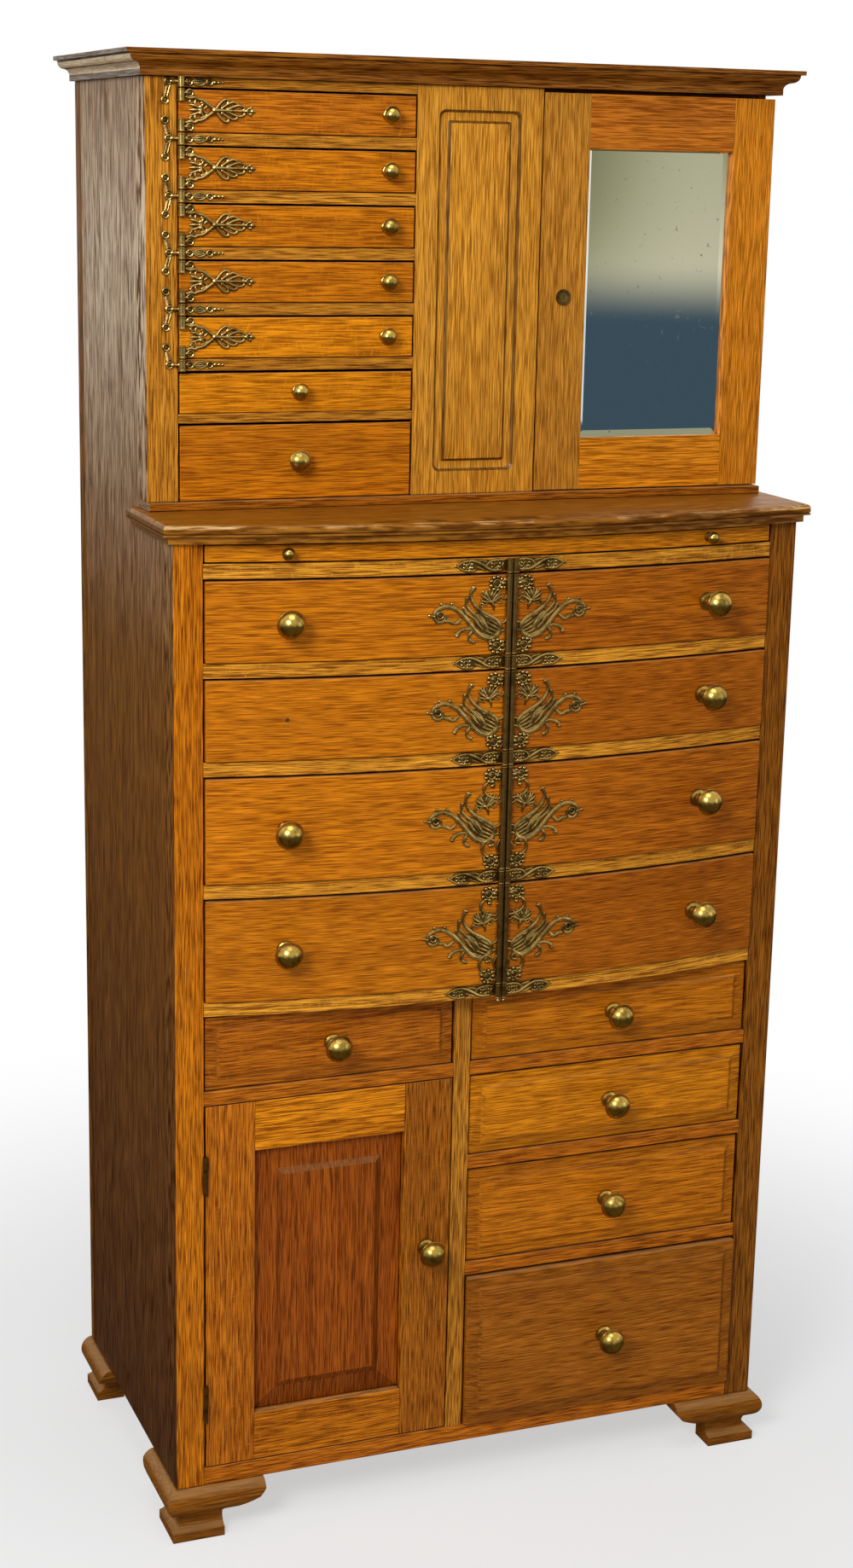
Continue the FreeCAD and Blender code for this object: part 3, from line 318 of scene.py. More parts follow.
def oak(name, roughness, coat, wear, dust_and_sheen, ledge_dust_and_sheen):
    """Oak, stained and varnished: short dark pores over streaks, growth rings and pale ray flecks.

    The varnish gives a satin gloss that follows the grain. Painted shade darkens the corners and gaps, and
    handling has worn the edges pale, most of all towards the ends. Where the finish has a sheen, the upper
    sides also take a painted sheen and grow darker towards the bottom. A board's stain, the strength of its
    grain, the run of the grain and the strength of its flecks come from attributes of its own mesh.
    """
    sizes = cabinet_sizes()
    material, tree = new_material(name)
    grain = add(tree, "Attribute", {"attribute_name": "grain"}, "Vector")
    stain = add(tree, "Attribute", {"attribute_name": "stain"}, "Color")
    figure = stain.node.outputs["Alpha"]
    fleck = add(tree, "Attribute", {"attribute_name": "fleck"}, "Fac")
    # A pore is about a third of a millimetre wide, drawn three times as wide so that it shows
    layers = []
    for length, width, detail, rough, bend in ((sizes.streak_length, mm(2.0), 4.0, 0.65, 0.2),
                                               (sizes.pore_length, mm(0.85), 2.0, 0.5, 0.0),
                                               (mm(260), mm(26), 3.0, 0.55, 0.5)):
        place = add(tree, "VectorMath", "MULTIPLY", _0=grain, _1=(1 / length, 1 / width, 1 / width))
        layers.append(add(tree, "TexNoise", Vector=place, Scale=1.0, Detail=detail, Roughness=rough,
                          Distortion=bend))
    streak, pore, band = layers
    place = add(tree, "Mapping", Vector=grain, Rotation=(0.0, 0.05, 0.035), Scale=(0.22, 1.0, 1.0))
    rings = add(tree, "TexWave", RINGS, "Fac", Vector=place, Scale=WAVE / sizes.ring_spacing, Distortion=2.5,
                Detail=2.0, Detail_Scale=1.2)
    # Ray flecks lie across the grain, about 5 mm along it and 14 mm over it
    place = add(tree, "Mapping", Vector=grain, Rotation=(0.0, 0.3, 0.6),
                Scale=(1 / mm(5.5), 1 / mm(14), 1 / mm(14)))
    flecks = add(tree, "TexNoise", Vector=place, Scale=1.0, Detail=2.5, Roughness=0.6, Distortion=1.2)
    flecks = add(tree, "ValToRGB", stops=FLECK_STEPS, Fac=flecks)
    flecks = add(tree, "Math", "MULTIPLY", _0=flecks, _1=fleck)
    colour = stain
    for layer, tones in ((band, BAND_TONES), (rings, RING_TONES), (streak, STREAK_TONES), (pore, PORE_TONES)):
        tone = add(tree, "ValToRGB", stops=tones, Fac=layer)
        colour = add(tree, "Mix", MULTIPLIED, Factor=figure, A=colour, B=tone)
    pale = add(tree, "Mix", MULTIPLIED, Factor=1.0, A=stain, B=FLECK_TONE)
    colour = add(tree, "Mix", BLENDED, Factor=flecks, A=colour, B=pale)
    place = add(tree, "TexCoord", out="Object")
    x, y, z = add(tree, "SeparateXYZ", Vector=place).node.outputs
    normal = add(tree, "NewGeometry", out="Normal")
    forward, upward = add(tree, "SeparateXYZ", Vector=normal).node.outputs[1:]
    bare = linear(cabinet_colours().bare)
    if wear:
        patch = add(tree, "TexNoise", Vector=place, Scale=1 / mm(30), Detail=4.0)
        side = add(tree, "Math", "ABSOLUTE", _0=x)
        ends = add(tree, "Math", "MULTIPLY_ADD", _0=patch, _1=0.08, _2=side)
        ends = add(tree, "MapRange", Value=ends, From_Min=WORN_FROM, From_Max=WORN_TO, To_Max=wear)
        patch = add(tree, "MapRange", Value=patch, From_Min=PATCH_FROM, From_Max=PATCH_TO, To_Max=wear * 0.6)
        worn = add(tree, "Math", "MAXIMUM", _0=ends, _1=patch)
        slant = add(tree, "ValToRGB", stops=SLANTS, Fac=upward)
        front = add(tree, "MapRange", Value=forward, From_Min=-0.1, From_Max=-0.3)
        for share in (slant, front):
            worn = add(tree, "Math", "MULTIPLY", _0=worn, _1=share)
        # The last tone is the pores', which show in the bare wood too
        rubbed = add(tree, "Mix", MULTIPLIED, Factor=1.0, A=bare, B=tone)
        colour = add(tree, "Mix", BLENDED, Factor=worn, A=colour, B=rubbed)
    # Upward faces are mixed towards bare oak: dusty ledges, and partly a painted sheen where the upward
    # slants of raised fields catch the light
    if ledge_dust_and_sheen:
        ledge = add(tree, "MapRange", Value=upward, From_Min=0.4, From_Max=0.8, To_Max=ledge_dust_and_sheen)
        colour = add(tree, "Mix", BLENDED, Factor=ledge, A=colour, B=bare)
    # Painted shade: the colour darkens where another surface closes in, in corners and in the gaps between
    # parts
    corner = add(tree, "AmbientOcclusion", {"samples": 4}, "AO", Distance=mm(5))
    corner_shade = add(tree, "ValToRGB", stops=CORNER_SHADE_TONES, Fac=corner)
    colour = add(tree, "Mix", MULTIPLIED, Factor=1.0, A=colour, B=corner_shade)
    height = add(tree, "Math", "MULTIPLY_ADD", _0=streak, _1=0.4, _2=pore)
    bump = add(tree, "Bump", Strength=0.35, Distance=mm(0.4), Height=height)
    satin = add(tree, "MapRange", Value=streak, From_Min=0.3, From_Max=0.7, To_Min=roughness + 0.12,
                To_Max=roughness - 0.06)
    varnish = add(tree, "Math", "MULTIPLY_ADD", _0=streak, _1=0.5, _2=pore)
    varnish = add(tree, "MapRange", Value=varnish, From_Min=0.66, From_Max=0.86)
    if dust_and_sheen:
        high = add(tree, "MapRange", SMOOTH, Value=z, From_Min=SHEEN_LOW, From_Max=SHEEN_HIGH, To_Min=0.04)
        shaded = add(tree, "MapRange", Value=z, From_Min=SHADE_LOW, From_Max=SHADE_HIGH, To_Min=1.0,
                     To_Max=0.45)
        ahead = add(tree, "Math", "LESS_THAN", _0=y, _1=seam_y)
        for share in (high, shaded, ahead):
            varnish = add(tree, "Math", "MULTIPLY", _0=varnish, _1=share)
        # The sides' colour grows darker towards the bottom
        darker_low = add(tree, "ValToRGB", stops=LOW_DARKENING_TONES, Fac=z)
        colour = add(tree, "Mix", MULTIPLIED, Factor=1.0, A=colour, B=darker_low)
        # Painted sheen: the upper sides are mixed towards a pale colour along the grain, where a reflection
        # would show
        painted_sheen_share = add(tree, "Math", "MULTIPLY", _0=varnish, _1=PAINTED_SHEEN_SHARE)
        colour = add(tree, "Mix", BLENDED, Factor=painted_sheen_share, A=colour, B=linear(cabinet_colours().sheen_painted))
    gloss = add(tree, "Math", "MULTIPLY", _0=varnish, _1=coat) if coat else 0.0
    bloom = add(tree, "Math", "MULTIPLY", _0=varnish, _1=dust_and_sheen) if dust_and_sheen else 0.0
    shader = add(tree, "BsdfPrincipled", Base_Color=colour, Roughness=satin, Normal=bump,
                 Specular_IOR_Level=0.05 if dust_and_sheen else 0.1, Coat_Weight=gloss, Coat_Roughness=0.28,
                 Coat_Normal=bump, Sheen_Weight=bloom, Sheen_Roughness=0.25, Sheen_Tint=VARNISH_TINT)
    add(tree, "OutputMaterial", Surface=shader)
    return material


def brass(name, colour, tarnish, roughness):
    """Cast brass, lacquered once and now tarnished: a warm metal with brown blotches and a soft gloss."""
    material, tree = new_material(name)
    place = add(tree, "TexCoord", out="Object")
    blotch = add(tree, "TexNoise", Vector=place, Scale=1 / mm(14), Detail=5.0, Roughness=0.6)
    speck = add(tree, "TexNoise", Vector=place, Scale=1 / mm(2.5), Detail=3.0, Roughness=0.6)
    mixed = add(tree, "Math", "MULTIPLY_ADD", _0=speck, _1=0.35, _2=blotch)
    base = add(tree, "ValToRGB", stops=((0.50, linear(tarnish)), (0.74, linear(colour))), Fac=mixed)
    hollow = add(tree, "AmbientOcclusion", {"samples": 6}, "AO", Distance=mm(1.6))
    patina = add(tree, "ValToRGB", stops=PATINA_TONES, Fac=hollow)
    base = add(tree, "Mix", MULTIPLIED, Factor=1.0, A=base, B=patina)
    gloss = add(tree, "MapRange", Value=mixed, From_Min=0.5, From_Max=0.8, To_Min=roughness + 0.18,
                To_Max=roughness)
    bump = add(tree, "Bump", Strength=0.15, Distance=mm(0.3), Height=speck)
    shader = add(tree, "BsdfPrincipled", Base_Color=base, Roughness=gloss, Normal=bump, Metallic=1.0)
    add(tree, "OutputMaterial", Surface=shader)
    return material


def mirror_glass():
    """Silvered plate glass: a clear reflection, a little grey, with old spots in the silvering."""
    material, tree = new_material("silvered_glass")
    place = add(tree, "TexCoord", out="Object")
    spots = add(tree, "TexNoise", Vector=place, Scale=1 / mm(9), Detail=6.0, Roughness=0.7)
    base = add(tree, "ValToRGB", stops=((0.28, linear("#6d7478")), (0.36, linear("#dfe4e4"))), Fac=spots)
    gloss = add(tree, "ValToRGB", stops=((0.28, grey(0.25)), (0.40, grey(0.02))), Fac=spots)
    shader = add(tree, "BsdfPrincipled", Base_Color=base, Roughness=gloss, Metallic=1.0)
    add(tree, "OutputMaterial", Surface=shader)
    return material


def shared(name, make, *settings):
    """The material of that name, made the first time that it is asked for."""
    return bpy.data.materials.get(name) or make(name, *settings)


def show(name, bm, materials, body, slot, *nodes):
    """Turns a bmesh into a piece that rides on a body and stands for CAD nodes."""
    mesh = bpy.data.meshes.new(name)
    bm.to_mesh(mesh)
    bm.free()
    for material in materials:
        mesh.materials.append(material)
    mesh.shade_smooth()
    mesh.set_sharp_from_angle(angle=SHARP_EDGE)
    piece = bpy.data.objects.new(name, mesh)
    bpy.context.scene.collection.objects.link(piece)
    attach(piece, body)
    if nodes:
        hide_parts(*nodes)
    return piece


def boards(node):
    """A copy of a node's mesh, merged board by board, with each board's number on its vertices.

    The CAD mesh lists its solids one after another, so a board ends where its skin has closed.
    """
    source = frame["nodes"][node].data
    bm = bmesh.new()
    bm.from_mesh(source)
    board = bm.verts.layers.int.new("board")
    groups = []
    corners = []
    open_edges = set()
    for face in bm.faces:
        corners += face.verts
        places = [tuple(round(c, 6) for c in vert.co) for vert in face.verts]
        for start, end in zip(places, places[1:] + places[:1]):
            if (end, start) in open_edges:
                open_edges.remove((end, start))
            elif start != end:
                open_edges.add((start, end))
        if not open_edges:
            groups.append(corners)
            corners = []
    for number, group in enumerate(groups):
        for vert in group:
            vert[board] = number
        bmesh.ops.remove_doubles(bm, verts=list(dict.fromkeys(group)), dist=mm(0.002))
    bmesh.ops.dissolve_limit(bm, angle_limit=math.radians(0.3), verts=bm.verts[:], edges=bm.edges[:])
    return bm


def round_bow(co):
    """A place on the bowed front as its length round the bow, its depth from the bow and its height."""
    from_axis = Vector((co.x, bow_centre_y - co.y))
    return Vector((math.atan2(from_axis.x, from_axis.y) * bow_radius, bow_radius - from_axis.length, co.z))


def round_pin(co, pin):
    """A place on a tray's bent wall as its length round the pin, its depth in the wall and its height."""
    from_pin = Vector((abs(co.x - pin[0]), co.y - pin[1]))
    return Vector((math.atan2(from_pin.y, from_pin.x) * from_pin.length, from_pin.length, co.z))


# How much of the grain's change shows through a board's thickness, and the slants that count as sloped and
# take painted shade
GRAIN_DEPTH = 0.2
STEEPEST, FLATTEST = -0.9995, -0.2


def grain_layers(bm, seed, stains, fleck, figure, outer, bent, slope_shade, pin):
    """Writes each board's run of grain, stain, strength of grain and fleck strength on the mesh.

    Faces on the cabinet's outer sides take the stain named outer instead, where there is one, and the
    second material. The grain of bent boards runs round the bow, and that of a tray's bent wall round its
    pin. Sloped and sunk faces at the front are darker by the given share, as painted shade.
    """
    draw = random.Random(seed)
    grain = bm.verts.layers.float_vector.new("grain")
    strength = bm.verts.layers.float.new("fleck")
    stain = bm.loops.layers.float_color.new("stain")
    board = bm.verts.layers.int["board"]
    groups = {}
    colours = {}
    for vert in bm.verts:
        groups.setdefault(vert[board], []).append(vert)
    for number, group in sorted(groups.items()):
        if pin and number == BENT_WALL:
            places = [round_pin(vert.co, pin) for vert in group]
        else:
            places = [round_bow(vert.co) if bent else vert.co.copy() for vert in group]
        low, high = ends_of(places)
        spans = high - low
        along = max(range(3), key=lambda i: spans[i])
        thin = thin_way(spans)
        order = (along, (along + 1) % 3, (along + 2) % 3)
        shift = Vector((draw.uniform(0, 9), draw.uniform(0.02, 0.12), draw.uniform(0.02, 0.12)))
        tone = 1 + draw.uniform(-0.05, 0.05)
        colours[number] = [c * tone for c in linear(stains[number % len(stains)])[:3]] + [figure]
        board_fleck = fleck * draw.uniform(0.4, 1.0)
        for vert, place in zip(group, places):
            place -= (low + high) / 2
            place[thin] *= GRAIN_DEPTH
            vert[grain] = Vector(place[i] for i in order) + shift
            vert[strength] = board_fleck
    bm.normal_update()
    for face in bm.faces:
        outside = outer and abs(face.normal.x) > 0.7 and abs(face.calc_center_median().x) > side_x - mm(1)
        face.material_index = 1 if outside else 0
        colour = linear(outer)[:3] + [figure] if outside else colours[face.verts[0][board]]
        # Painted shade on sloped and sunk faces, such as the slants round raised fields and the walls of
        # grooves
        if slope_shade and not outside and STEEPEST < face.normal.y < FLATTEST:
            colour = [c * (1 - slope_shade) for c in colour[:3]] + [figure]
        for loop in face.loops:
            loop[stain] = colour


def ends_of(places):
    """The low and high corners of a box round some places."""
    low = Vector(min(place[i] for place in places) for i in range(3))
    high = Vector(max(place[i] for place in places) for i in range(3))
    return low, high


def thin_way(spans):
    """The axis through a board's thickness: upright for shelves, sideways for sides, else front to back."""
    if spans.z < min(spans.x, spans.y) / 6:
        return 2
    return 0 if spans.x < spans.y / 2 else 1


def ease_field(bm, width):
    """Slopes the edges of a front's raised field, and the margin round it back to the board's edges."""
    board = bm.verts.layers.int["board"]
    verts = [vert for vert in bm.verts if vert[board] == 0]
    low, high = ends_of([vert.co for vert in verts])
    field = [vert for vert in verts if vert.co.y < low.y + NEAR / 2]
    field_low, field_high = ends_of([vert.co for vert in field])
    for vert in field:
        for i in (0, 2):
            vert.co[i] += width if vert.co[i] < (field_low[i] + field_high[i]) / 2 else -width
    margin = [vert for vert in verts if low.y + NEAR / 2 < vert.co.y < low.y + mm(5)]
    for vert in margin:
        sides = (vert.co.x - low.x, high.x - vert.co.x, vert.co.z - low.z, high.z - vert.co.z)
        if min(sides) < NEAR:
            vert.co.y += cabinet_sizes().field_fall


def lower_top(bm, gap):
    """Planes the top of a door down, so that a dark gap shows above it."""
    top = max(vert.co.z for vert in bm.verts)
    for vert in bm.verts:
        if vert.co.z > top - NEAR:
            vert.co.z -= gap


def slope_groove(bm):
    """Slopes both walls of a routed groove by drawing the edges of its floor together."""
    front = min(vert.co.y for vert in bm.verts)
    floor = [vert for vert in bm.verts if mm(0.5) < vert.co.y - front < mm(6)]
    low, high = ends_of([vert.co for vert in floor])
    middle = (low + high) / 2
    outer = []
    inner = []
    for vert in floor:
        to_edge = min((high - low)[i] / 2 - abs((vert.co - middle)[i]) for i in (0, 2))
        (outer if to_edge < mm(6) else inner).append(vert)
    for verts, width in ((outer, -cabinet_sizes().groove_slope), (inner, cabinet_sizes().groove_slope)):
        low, high = ends_of([vert.co for vert in verts])
        for vert in verts:
            for i in (0, 2):
                vert.co[i] += (vert.co[i] - middle[i]) * width / ((high[i] - low[i]) / 2)


# Roughness, varnish, wear, a dusty sheen that brings the painted sheen of the upper sides with it, and dusty
# ledges that are partly painted sheen, of each kind of oak surface
FINISHES = {"oak_satin": (0.42, 0.06, 0.0, 0.0, 0.3), "oak_panel": (0.42, 0.6, 0.0, 0.0, 0.0),
            "oak_side": (0.45, 1.0, 0.0, 0.85, 0.0), "oak_counter": (0.36, 0.3, 0.9, 0.0, 0.0),
            "oak_cornice": (0.4, 0.5, 0.8, 0.0, 0.0), "oak_inside": (0.6, 0.0, 0.0, 0.0, 0.3)}


def ease_front(bm, under):
    """Planes a little off the top and the ends of a front, the first board, so that its gaps show.

    A front that is eased under as well loses the same below.
    """
    board = bm.verts.layers.int["board"]
    front = [vert for vert in bm.verts if vert[board] == 0]
    low, high = ends_of([vert.co for vert in front])
    shaving = cabinet_sizes().front_gap
    for vert in front:
        if vert.co.z > high.z - NEAR:
            vert.co.z -= shaving
        elif under and vert.co.z < low.z + NEAR:
            vert.co.z += shaving
        if vert.co.x < low.x + NEAR:
            vert.co.x += shaving / 2
        if vert.co.x > high.x - NEAR:
            vert.co.x -= shaving / 2


# Where the wood has cracked, or a moulding has a quirk: a point on the line and the way across it
CORNICE_CRACKS = [((0, 0.012, 0), (0, 1, 0)), ((0, 0.118, 0), (0, 1, 0))]
BACK_SEAM = [((0, seam_y, 0), (0, 1, 0))]
COUNTER_QUIRK = [((0, 0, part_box("counter_top")[1].z - mm(9.4)), (0, 0, 1))]
CRACK_WIDTH, CRACK_DEPTH = mm(1), mm(1.2)


def slit(bm, place, normal):
    """Cuts a narrow groove into the outer faces of boards where a plane meets them."""
    for offset in (-CRACK_WIDTH / 2, CRACK_WIDTH / 2):
        bmesh.ops.bisect_plane(bm, geom=bm.verts[:] + bm.edges[:] + bm.faces[:], dist=mm(0.01),
                               plane_co=place + normal * offset, plane_no=normal)
    bm.normal_update()
    strip = []
    for face in bm.faces:
        middle = face.calc_center_median()
        level = abs((middle - place).dot(normal)) < CRACK_WIDTH / 2 - NEAR
        outer = abs(middle.x) > side_x - NEAR or middle.y < upper_face_y
        if level and outer and abs(face.normal.dot(normal)) < 0.5:
            strip.append(face)
    bmesh.ops.inset_region(bm, faces=strip, thickness=mm(0.1), depth=-CRACK_DEPTH, use_even_offset=True)


def dress(node, stains, fleck, figure, arris=None, slot="oak", finish="oak_satin", outer=None, slope=0.0,
          ease=False, slits=(), bent=False, slope_shade=0.0, pin=None, top_gap=0.0):
    """Shows a wooden node as boards with softened edges, each with its own grain.

    Stains go to the boards in turn, and fleck and figure are the strengths of their ray flecks and grain.
    """
    bm = boards(node)
    for place, normal in slits:
        slit(bm, Vector(place), Vector(normal))
    if ease:
        ease_front(bm, ease == "under")
    if slope:
        ease_field(bm, slope)
    elif slope_shade:
        slope_groove(bm)
    if top_gap:
        lower_top(bm, top_gap)
    grain_layers(bm, node, stains, fleck, figure, outer, bent, slope_shade, pin)
    finishes = [finish, "oak_side" if finish == "oak_satin" else finish] if outer else [finish]
    materials = [shared(name, oak, *FINISHES[name]) for name in finishes]
    piece = show(node + "_boards", bm, materials, body_of(frame["nodes"][node])[0], slot, node)
    if slope:
        piece.data.set_sharp_from_angle(angle=FIELD_EDGE)
    width = cabinet_sizes().arris if arris is None else arris
    if width:
        bevel = piece.modifiers.new("arris", "BEVEL")
        bevel.width = width
        bevel.segments = 2
        bevel.limit_method = "ANGLE"
        bevel.angle_limit = ARRIS_EDGE
        bevel.harden_normals = True
    return piece


class CABINET_OT_case(bpy.types.Operator):
    """Dress the case's boards, rails, counter, cornice and feet in oak"""

    bl_idname = "cabinet.case"
    bl_label = "Case"

    def execute(self, context):
        colours = cabinet_colours()
        brown = colours.brown
        dress("case_sides", [brown], 0.0, 1.0, slot="oak_dark", finish="oak_side", slits=BACK_SEAM)
        dress("back_board", [brown], 0.0, 1.0, slot="oak_dark")
        # The right-hand post takes chestnut, darker than the left-hand post, as painted shade
        posts = [colours.honey, colours.chestnut, colours.amber, colours.golden]
        dress("lower_face_frame", posts + [colours.amber] * 4, 0.2, 1.0, outer=brown)
        dress("bow_rails", [colours.straw], 0.5, 1.0, bent=True)
        dress("inner_boards", [colours.bare], 0.1, 0.9, slot="oak_inside", finish="oak_inside")
        dress("counter_top", [colours.hazel], 0.2, 0.8, 0.0, finish="oak_counter", outer=brown,
              slits=COUNTER_QUIRK, bent=True)
        dress("upper_face_frame", [colours.umber] + [colours.golden] * 9, 0.3, 1.0, outer=brown)
        dress("centre_panel", [colours.straw], 0.1, 0.8, finish="oak_panel", slope_shade=0.7)
        cornice = dress("cornice", [colours.chestnut], 0.0, 1.0, finish="oak_cornice", slits=CORNICE_CRACKS)
        self.paint_return_reflection(cornice)
        dress("feet", [colours.chestnut], 0.0, 0.7, mm(2.5))
        return {"FINISHED"}

    def paint_return_reflection(self, cornice):
        """Paints the hollow of the cornice's left return pale, a painted reflection, between fillets painted
        darker.
        """
        colours = cabinet_colours()
        figure = 0.35
        stain = cornice.data.attributes["stain"].data
        for polygon in cornice.data.polygons:
            hollow = -0.95 < polygon.normal.z < -0.1
            if polygon.normal.x < -0.2 and abs(polygon.normal.z) < 0.95:
                colour = linear(colours.sheen_painted if hollow else colours.dark_fillet)[:3] + [figure]
                for loop in polygon.loop_indices:
                    stain[loop].color = colour


class CABINET_OT_drawers(bpy.types.Operator):
    """Dress the drawers and the writing slide in oak"""

    bl_idname = "cabinet.drawers"
    bl_label = "Drawers and slide"

    def execute(self, context):
        colours = cabinet_colours()
        bare = [colours.bare] * 4
        edge = cabinet_sizes().front_arris
        fielded = {"slope": cabinet_sizes().field_slope, "slope_shade": 0.16, "ease": True}
        for row, stain in zip(ROWS, (colours.honey, colours.tawny, colours.honey, colours.umber)):
            dress("right_drawer_%d" % row, [stain] + bare, 0.3, 0.8, edge, **fielded)
        dress("small_drawer", [colours.amber] + bare, 0.3, 0.9, edge, **fielded)
        dress("upper_drawer_a", [colours.tawny] + bare, 0.9, 0.8, edge, ease=True)
        dress("upper_drawer_b", [colours.honey] + bare, 0.2, 0.8, edge, ease=True)
        dress("writing_slide", [colours.tawny], 0.3, 0.9, edge, ease="under", bent=True)
        return {"FINISHED"}


class CABINET_OT_trays(bpy.types.Operator):
    """Dress the swing trays in oak"""

    bl_idname = "cabinet.trays"
    bl_label = "Swing trays"

    def execute(self, context):
        colours = cabinet_colours()
        bare = [colours.bare] * 3
        edge = cabinet_sizes().front_arris
        uppers = (colours.amber, colours.honey, colours.honey, colours.honey, colours.tawny)
        pin = (upper_pin_x, upper_pin_y)
        for tray, stain in zip(UPPER_TRAYS, uppers):
            dress("upper_tray_%d" % tray, [stain] + bare, 0.7, 0.8, edge, ease=True, pin=pin)
        for row in ROWS:
            # The right-hand bow trays take the darker honey as painted shade
            for (side, sign), stain in zip(SIDES, (colours.honey, colours.shaded_honey)):
                pin = (sign * bow_pin_x, bow_pin_y)
                dress("bow_tray_%s_%d" % (side, row), [stain] + bare, 0.15, 0.8, edge, ease=True, bent=True,
                      pin=pin)
        return {"FINISHED"}


# The mirror's ground bevel: its width, its depth, and how much narrower it is along the top
BEVEL_WIDTH, BEVEL_DEPTH, BEVEL_LOSS = mm(7), mm(0.9), mm(5.5)
MIRROR_DOOR_GAP = mm(3)


class CABINET_OT_doors(bpy.types.Operator):
    """Dress the panel door and the mirror door"""

    bl_idname = "cabinet.doors"
    bl_label = "Doors"

    def execute(self, context):
        colours = cabinet_colours()
        dress("panel_door_frame", [colours.amber, colours.umber, colours.honey, colours.tawny], 0.4, 1.0)
        dress("door_panel", [colours.russet], 0.1, 0.9, slope=cabinet_sizes().field_slope, slope_shade=0.3)
        stains = [colours.golden, colours.tawny, colours.tawny, colours.amber, colours.bare]
        dress("mirror_door_frame", stains, 0.2, 0.8, finish="oak_panel", outer=colours.golden,
              top_gap=MIRROR_DOOR_GAP)
        self.mirror()
        return {"FINISHED"}

    def mirror(self):
        """The mirror with a narrow bevel ground round its edge."""
        bm = boards("mirror_plate")
        front = min(bm.faces, key=lambda face: face.calc_center_median().y)
        rim = front.verts[:]
        bmesh.ops.inset_region(bm, faces=[front], thickness=BEVEL_WIDTH, depth=0.0, use_even_offset=True)
        bmesh.ops.translate(bm, vec=(0, BEVEL_DEPTH, 0), verts=rim)
        middle = front.calc_center_median().z
        top = [vert for vert in front.verts if vert.co.z > middle]
        bmesh.ops.translate(bm, vec=(0, 0, BEVEL_LOSS), verts=top)
        piece = show("mirror_glass", bm, [mirror_glass()], "mirror_door", "mirror", "mirror_plate")
        piece.data.shade_flat()


# Turned and cast brass: the hinges' aged one, a dark one for their screws that also gives the cast
# hinges' grounds their painted shade, and the knobs' polished one, each with its colour, its tarnish and its
# roughness
AGED, DARK_BRASS_AND_SHADE, POLISHED = range(3)
BRASSES = (("antique_brass", "#b59a5e", "#6c5930", 0.22), ("dark_brass_and_shade", "#8a6a3a", "#46331a", 0.36),
           ("tarnished_brass", "#bb9f52", "#745e2a", 0.17))


def brass_finishes():
    """The three kinds of brass, in the order of their numbers."""
    return [shared(name, brass, *looks) for name, *looks in BRASSES]


def merge(bm, part, finish=None):
    """Adds a finished part to a piece's bmesh, in one of the brass finishes or in those it has."""
    if finish is not None:
        for face in part.faces:
            face.material_index = finish
    mesh = bpy.data.meshes.new("part")
    part.to_mesh(mesh)
    part.free()
    bm.from_mesh(mesh)
    bpy.data.meshes.remove(mesh)


def turned(bm, profile, matrix, finish, steps=20):
    """Spins a profile of (radius, height) millimetres about its axis and sets it in place."""
    part = bmesh.new()
    verts = [part.verts.new((mm(radius), 0, mm(height))) for radius, height in profile]
    edges = [part.edges.new(pair) for pair in zip(verts, verts[1:])]
    bmesh.ops.spin(part, geom=verts + edges, cent=(0, 0, 0), axis=(0, 0, 1), angle=math.tau, steps=steps,
                   use_merge=True)
    bmesh.ops.remove_doubles(part, verts=part.verts[:], dist=mm(0.005))
    bmesh.ops.recalc_face_normals(part, faces=part.faces[:])
    bmesh.ops.transform(part, matrix=matrix, verts=part.verts[:])
    merge(bm, part, finish)


def facing(x, z, y=0.0, turn=0.0):
    """Where a turned part stands on a front: its axis points to the front, turned about Z on the bow."""
    upright = Matrix.Rotation(math.pi / 2, 4, "X")
    return Matrix.Translation((x, y, z)) @ Matrix.Rotation(turn, 4, "Z") @ upright


def beside(stroke, way):
    """A thin stroke along one edge of a stroke."""
    moved = []
    for k, (x, z, thickness) in enumerate(stroke):
        before = stroke[max(k - 1, 0)]
        after = stroke[min(k + 1, len(stroke) - 1)]
        run = Vector((after[0] - before[0], after[1] - before[1])).normalized()
        step = way * thickness * 0.75
        moved.append((x - run.y * step, z + run.x * step, thickness * 0.42))
    return moved


def ridged(bm, strokes):
    """Bars with a hollow between two ridges."""
    scrolls(bm, strokes, bold=0.8)
    scrolls(bm, [beside(stroke, way) for stroke in strokes for way in (-1, 1)], bold=1.35)


def scrolls(bm, strokes, finish=AGED, closed=False, bold=1.3):
    """Half-round bars along given points of (x, z, thickness) millimetres, lying on the plane y = 0."""
    curve = bpy.data.curves.new("scroll", "CURVE")
    curve.dimensions = "3D"
    curve.bevel_depth = mm(1)
    curve.bevel_resolution = 2
    curve.resolution_u = 4
    curve.use_fill_caps = True
    for stroke in strokes:
        spline = curve.splines.new("BEZIER")
        spline.use_cyclic_u = closed
        spline.bezier_points.add(len(stroke) - 1)
        for point, (x, z, thickness) in zip(spline.bezier_points, stroke):
            point.co = (mm(x), 0, mm(z))
            point.radius = thickness * bold
            point.handle_left_type = "AUTO"
            point.handle_right_type = "AUTO"
    holder = bpy.data.objects.new("scroll", curve)
    mesh = bpy.data.meshes.new_from_object(holder)
    part = bmesh.new()
    part.from_mesh(mesh)
    bpy.data.objects.remove(holder)
    bpy.data.curves.remove(curve)
    bpy.data.meshes.remove(mesh)
    bmesh.ops.remove_doubles(part, verts=part.verts[:], dist=mm(0.01))
    bmesh.ops.recalc_face_normals(part, faces=part.faces[:])
    bmesh.ops.translate(part, vec=(0, -mm(0.7), 0), verts=part.verts[:])
    merge(bm, part, finish)
    for stroke in [] if closed else strokes:
        for x, z, thickness in (stroke[0], stroke[-1]):
            if thickness >= 0.9:
                bead(bm, x, z, thickness * bold * 1.15)


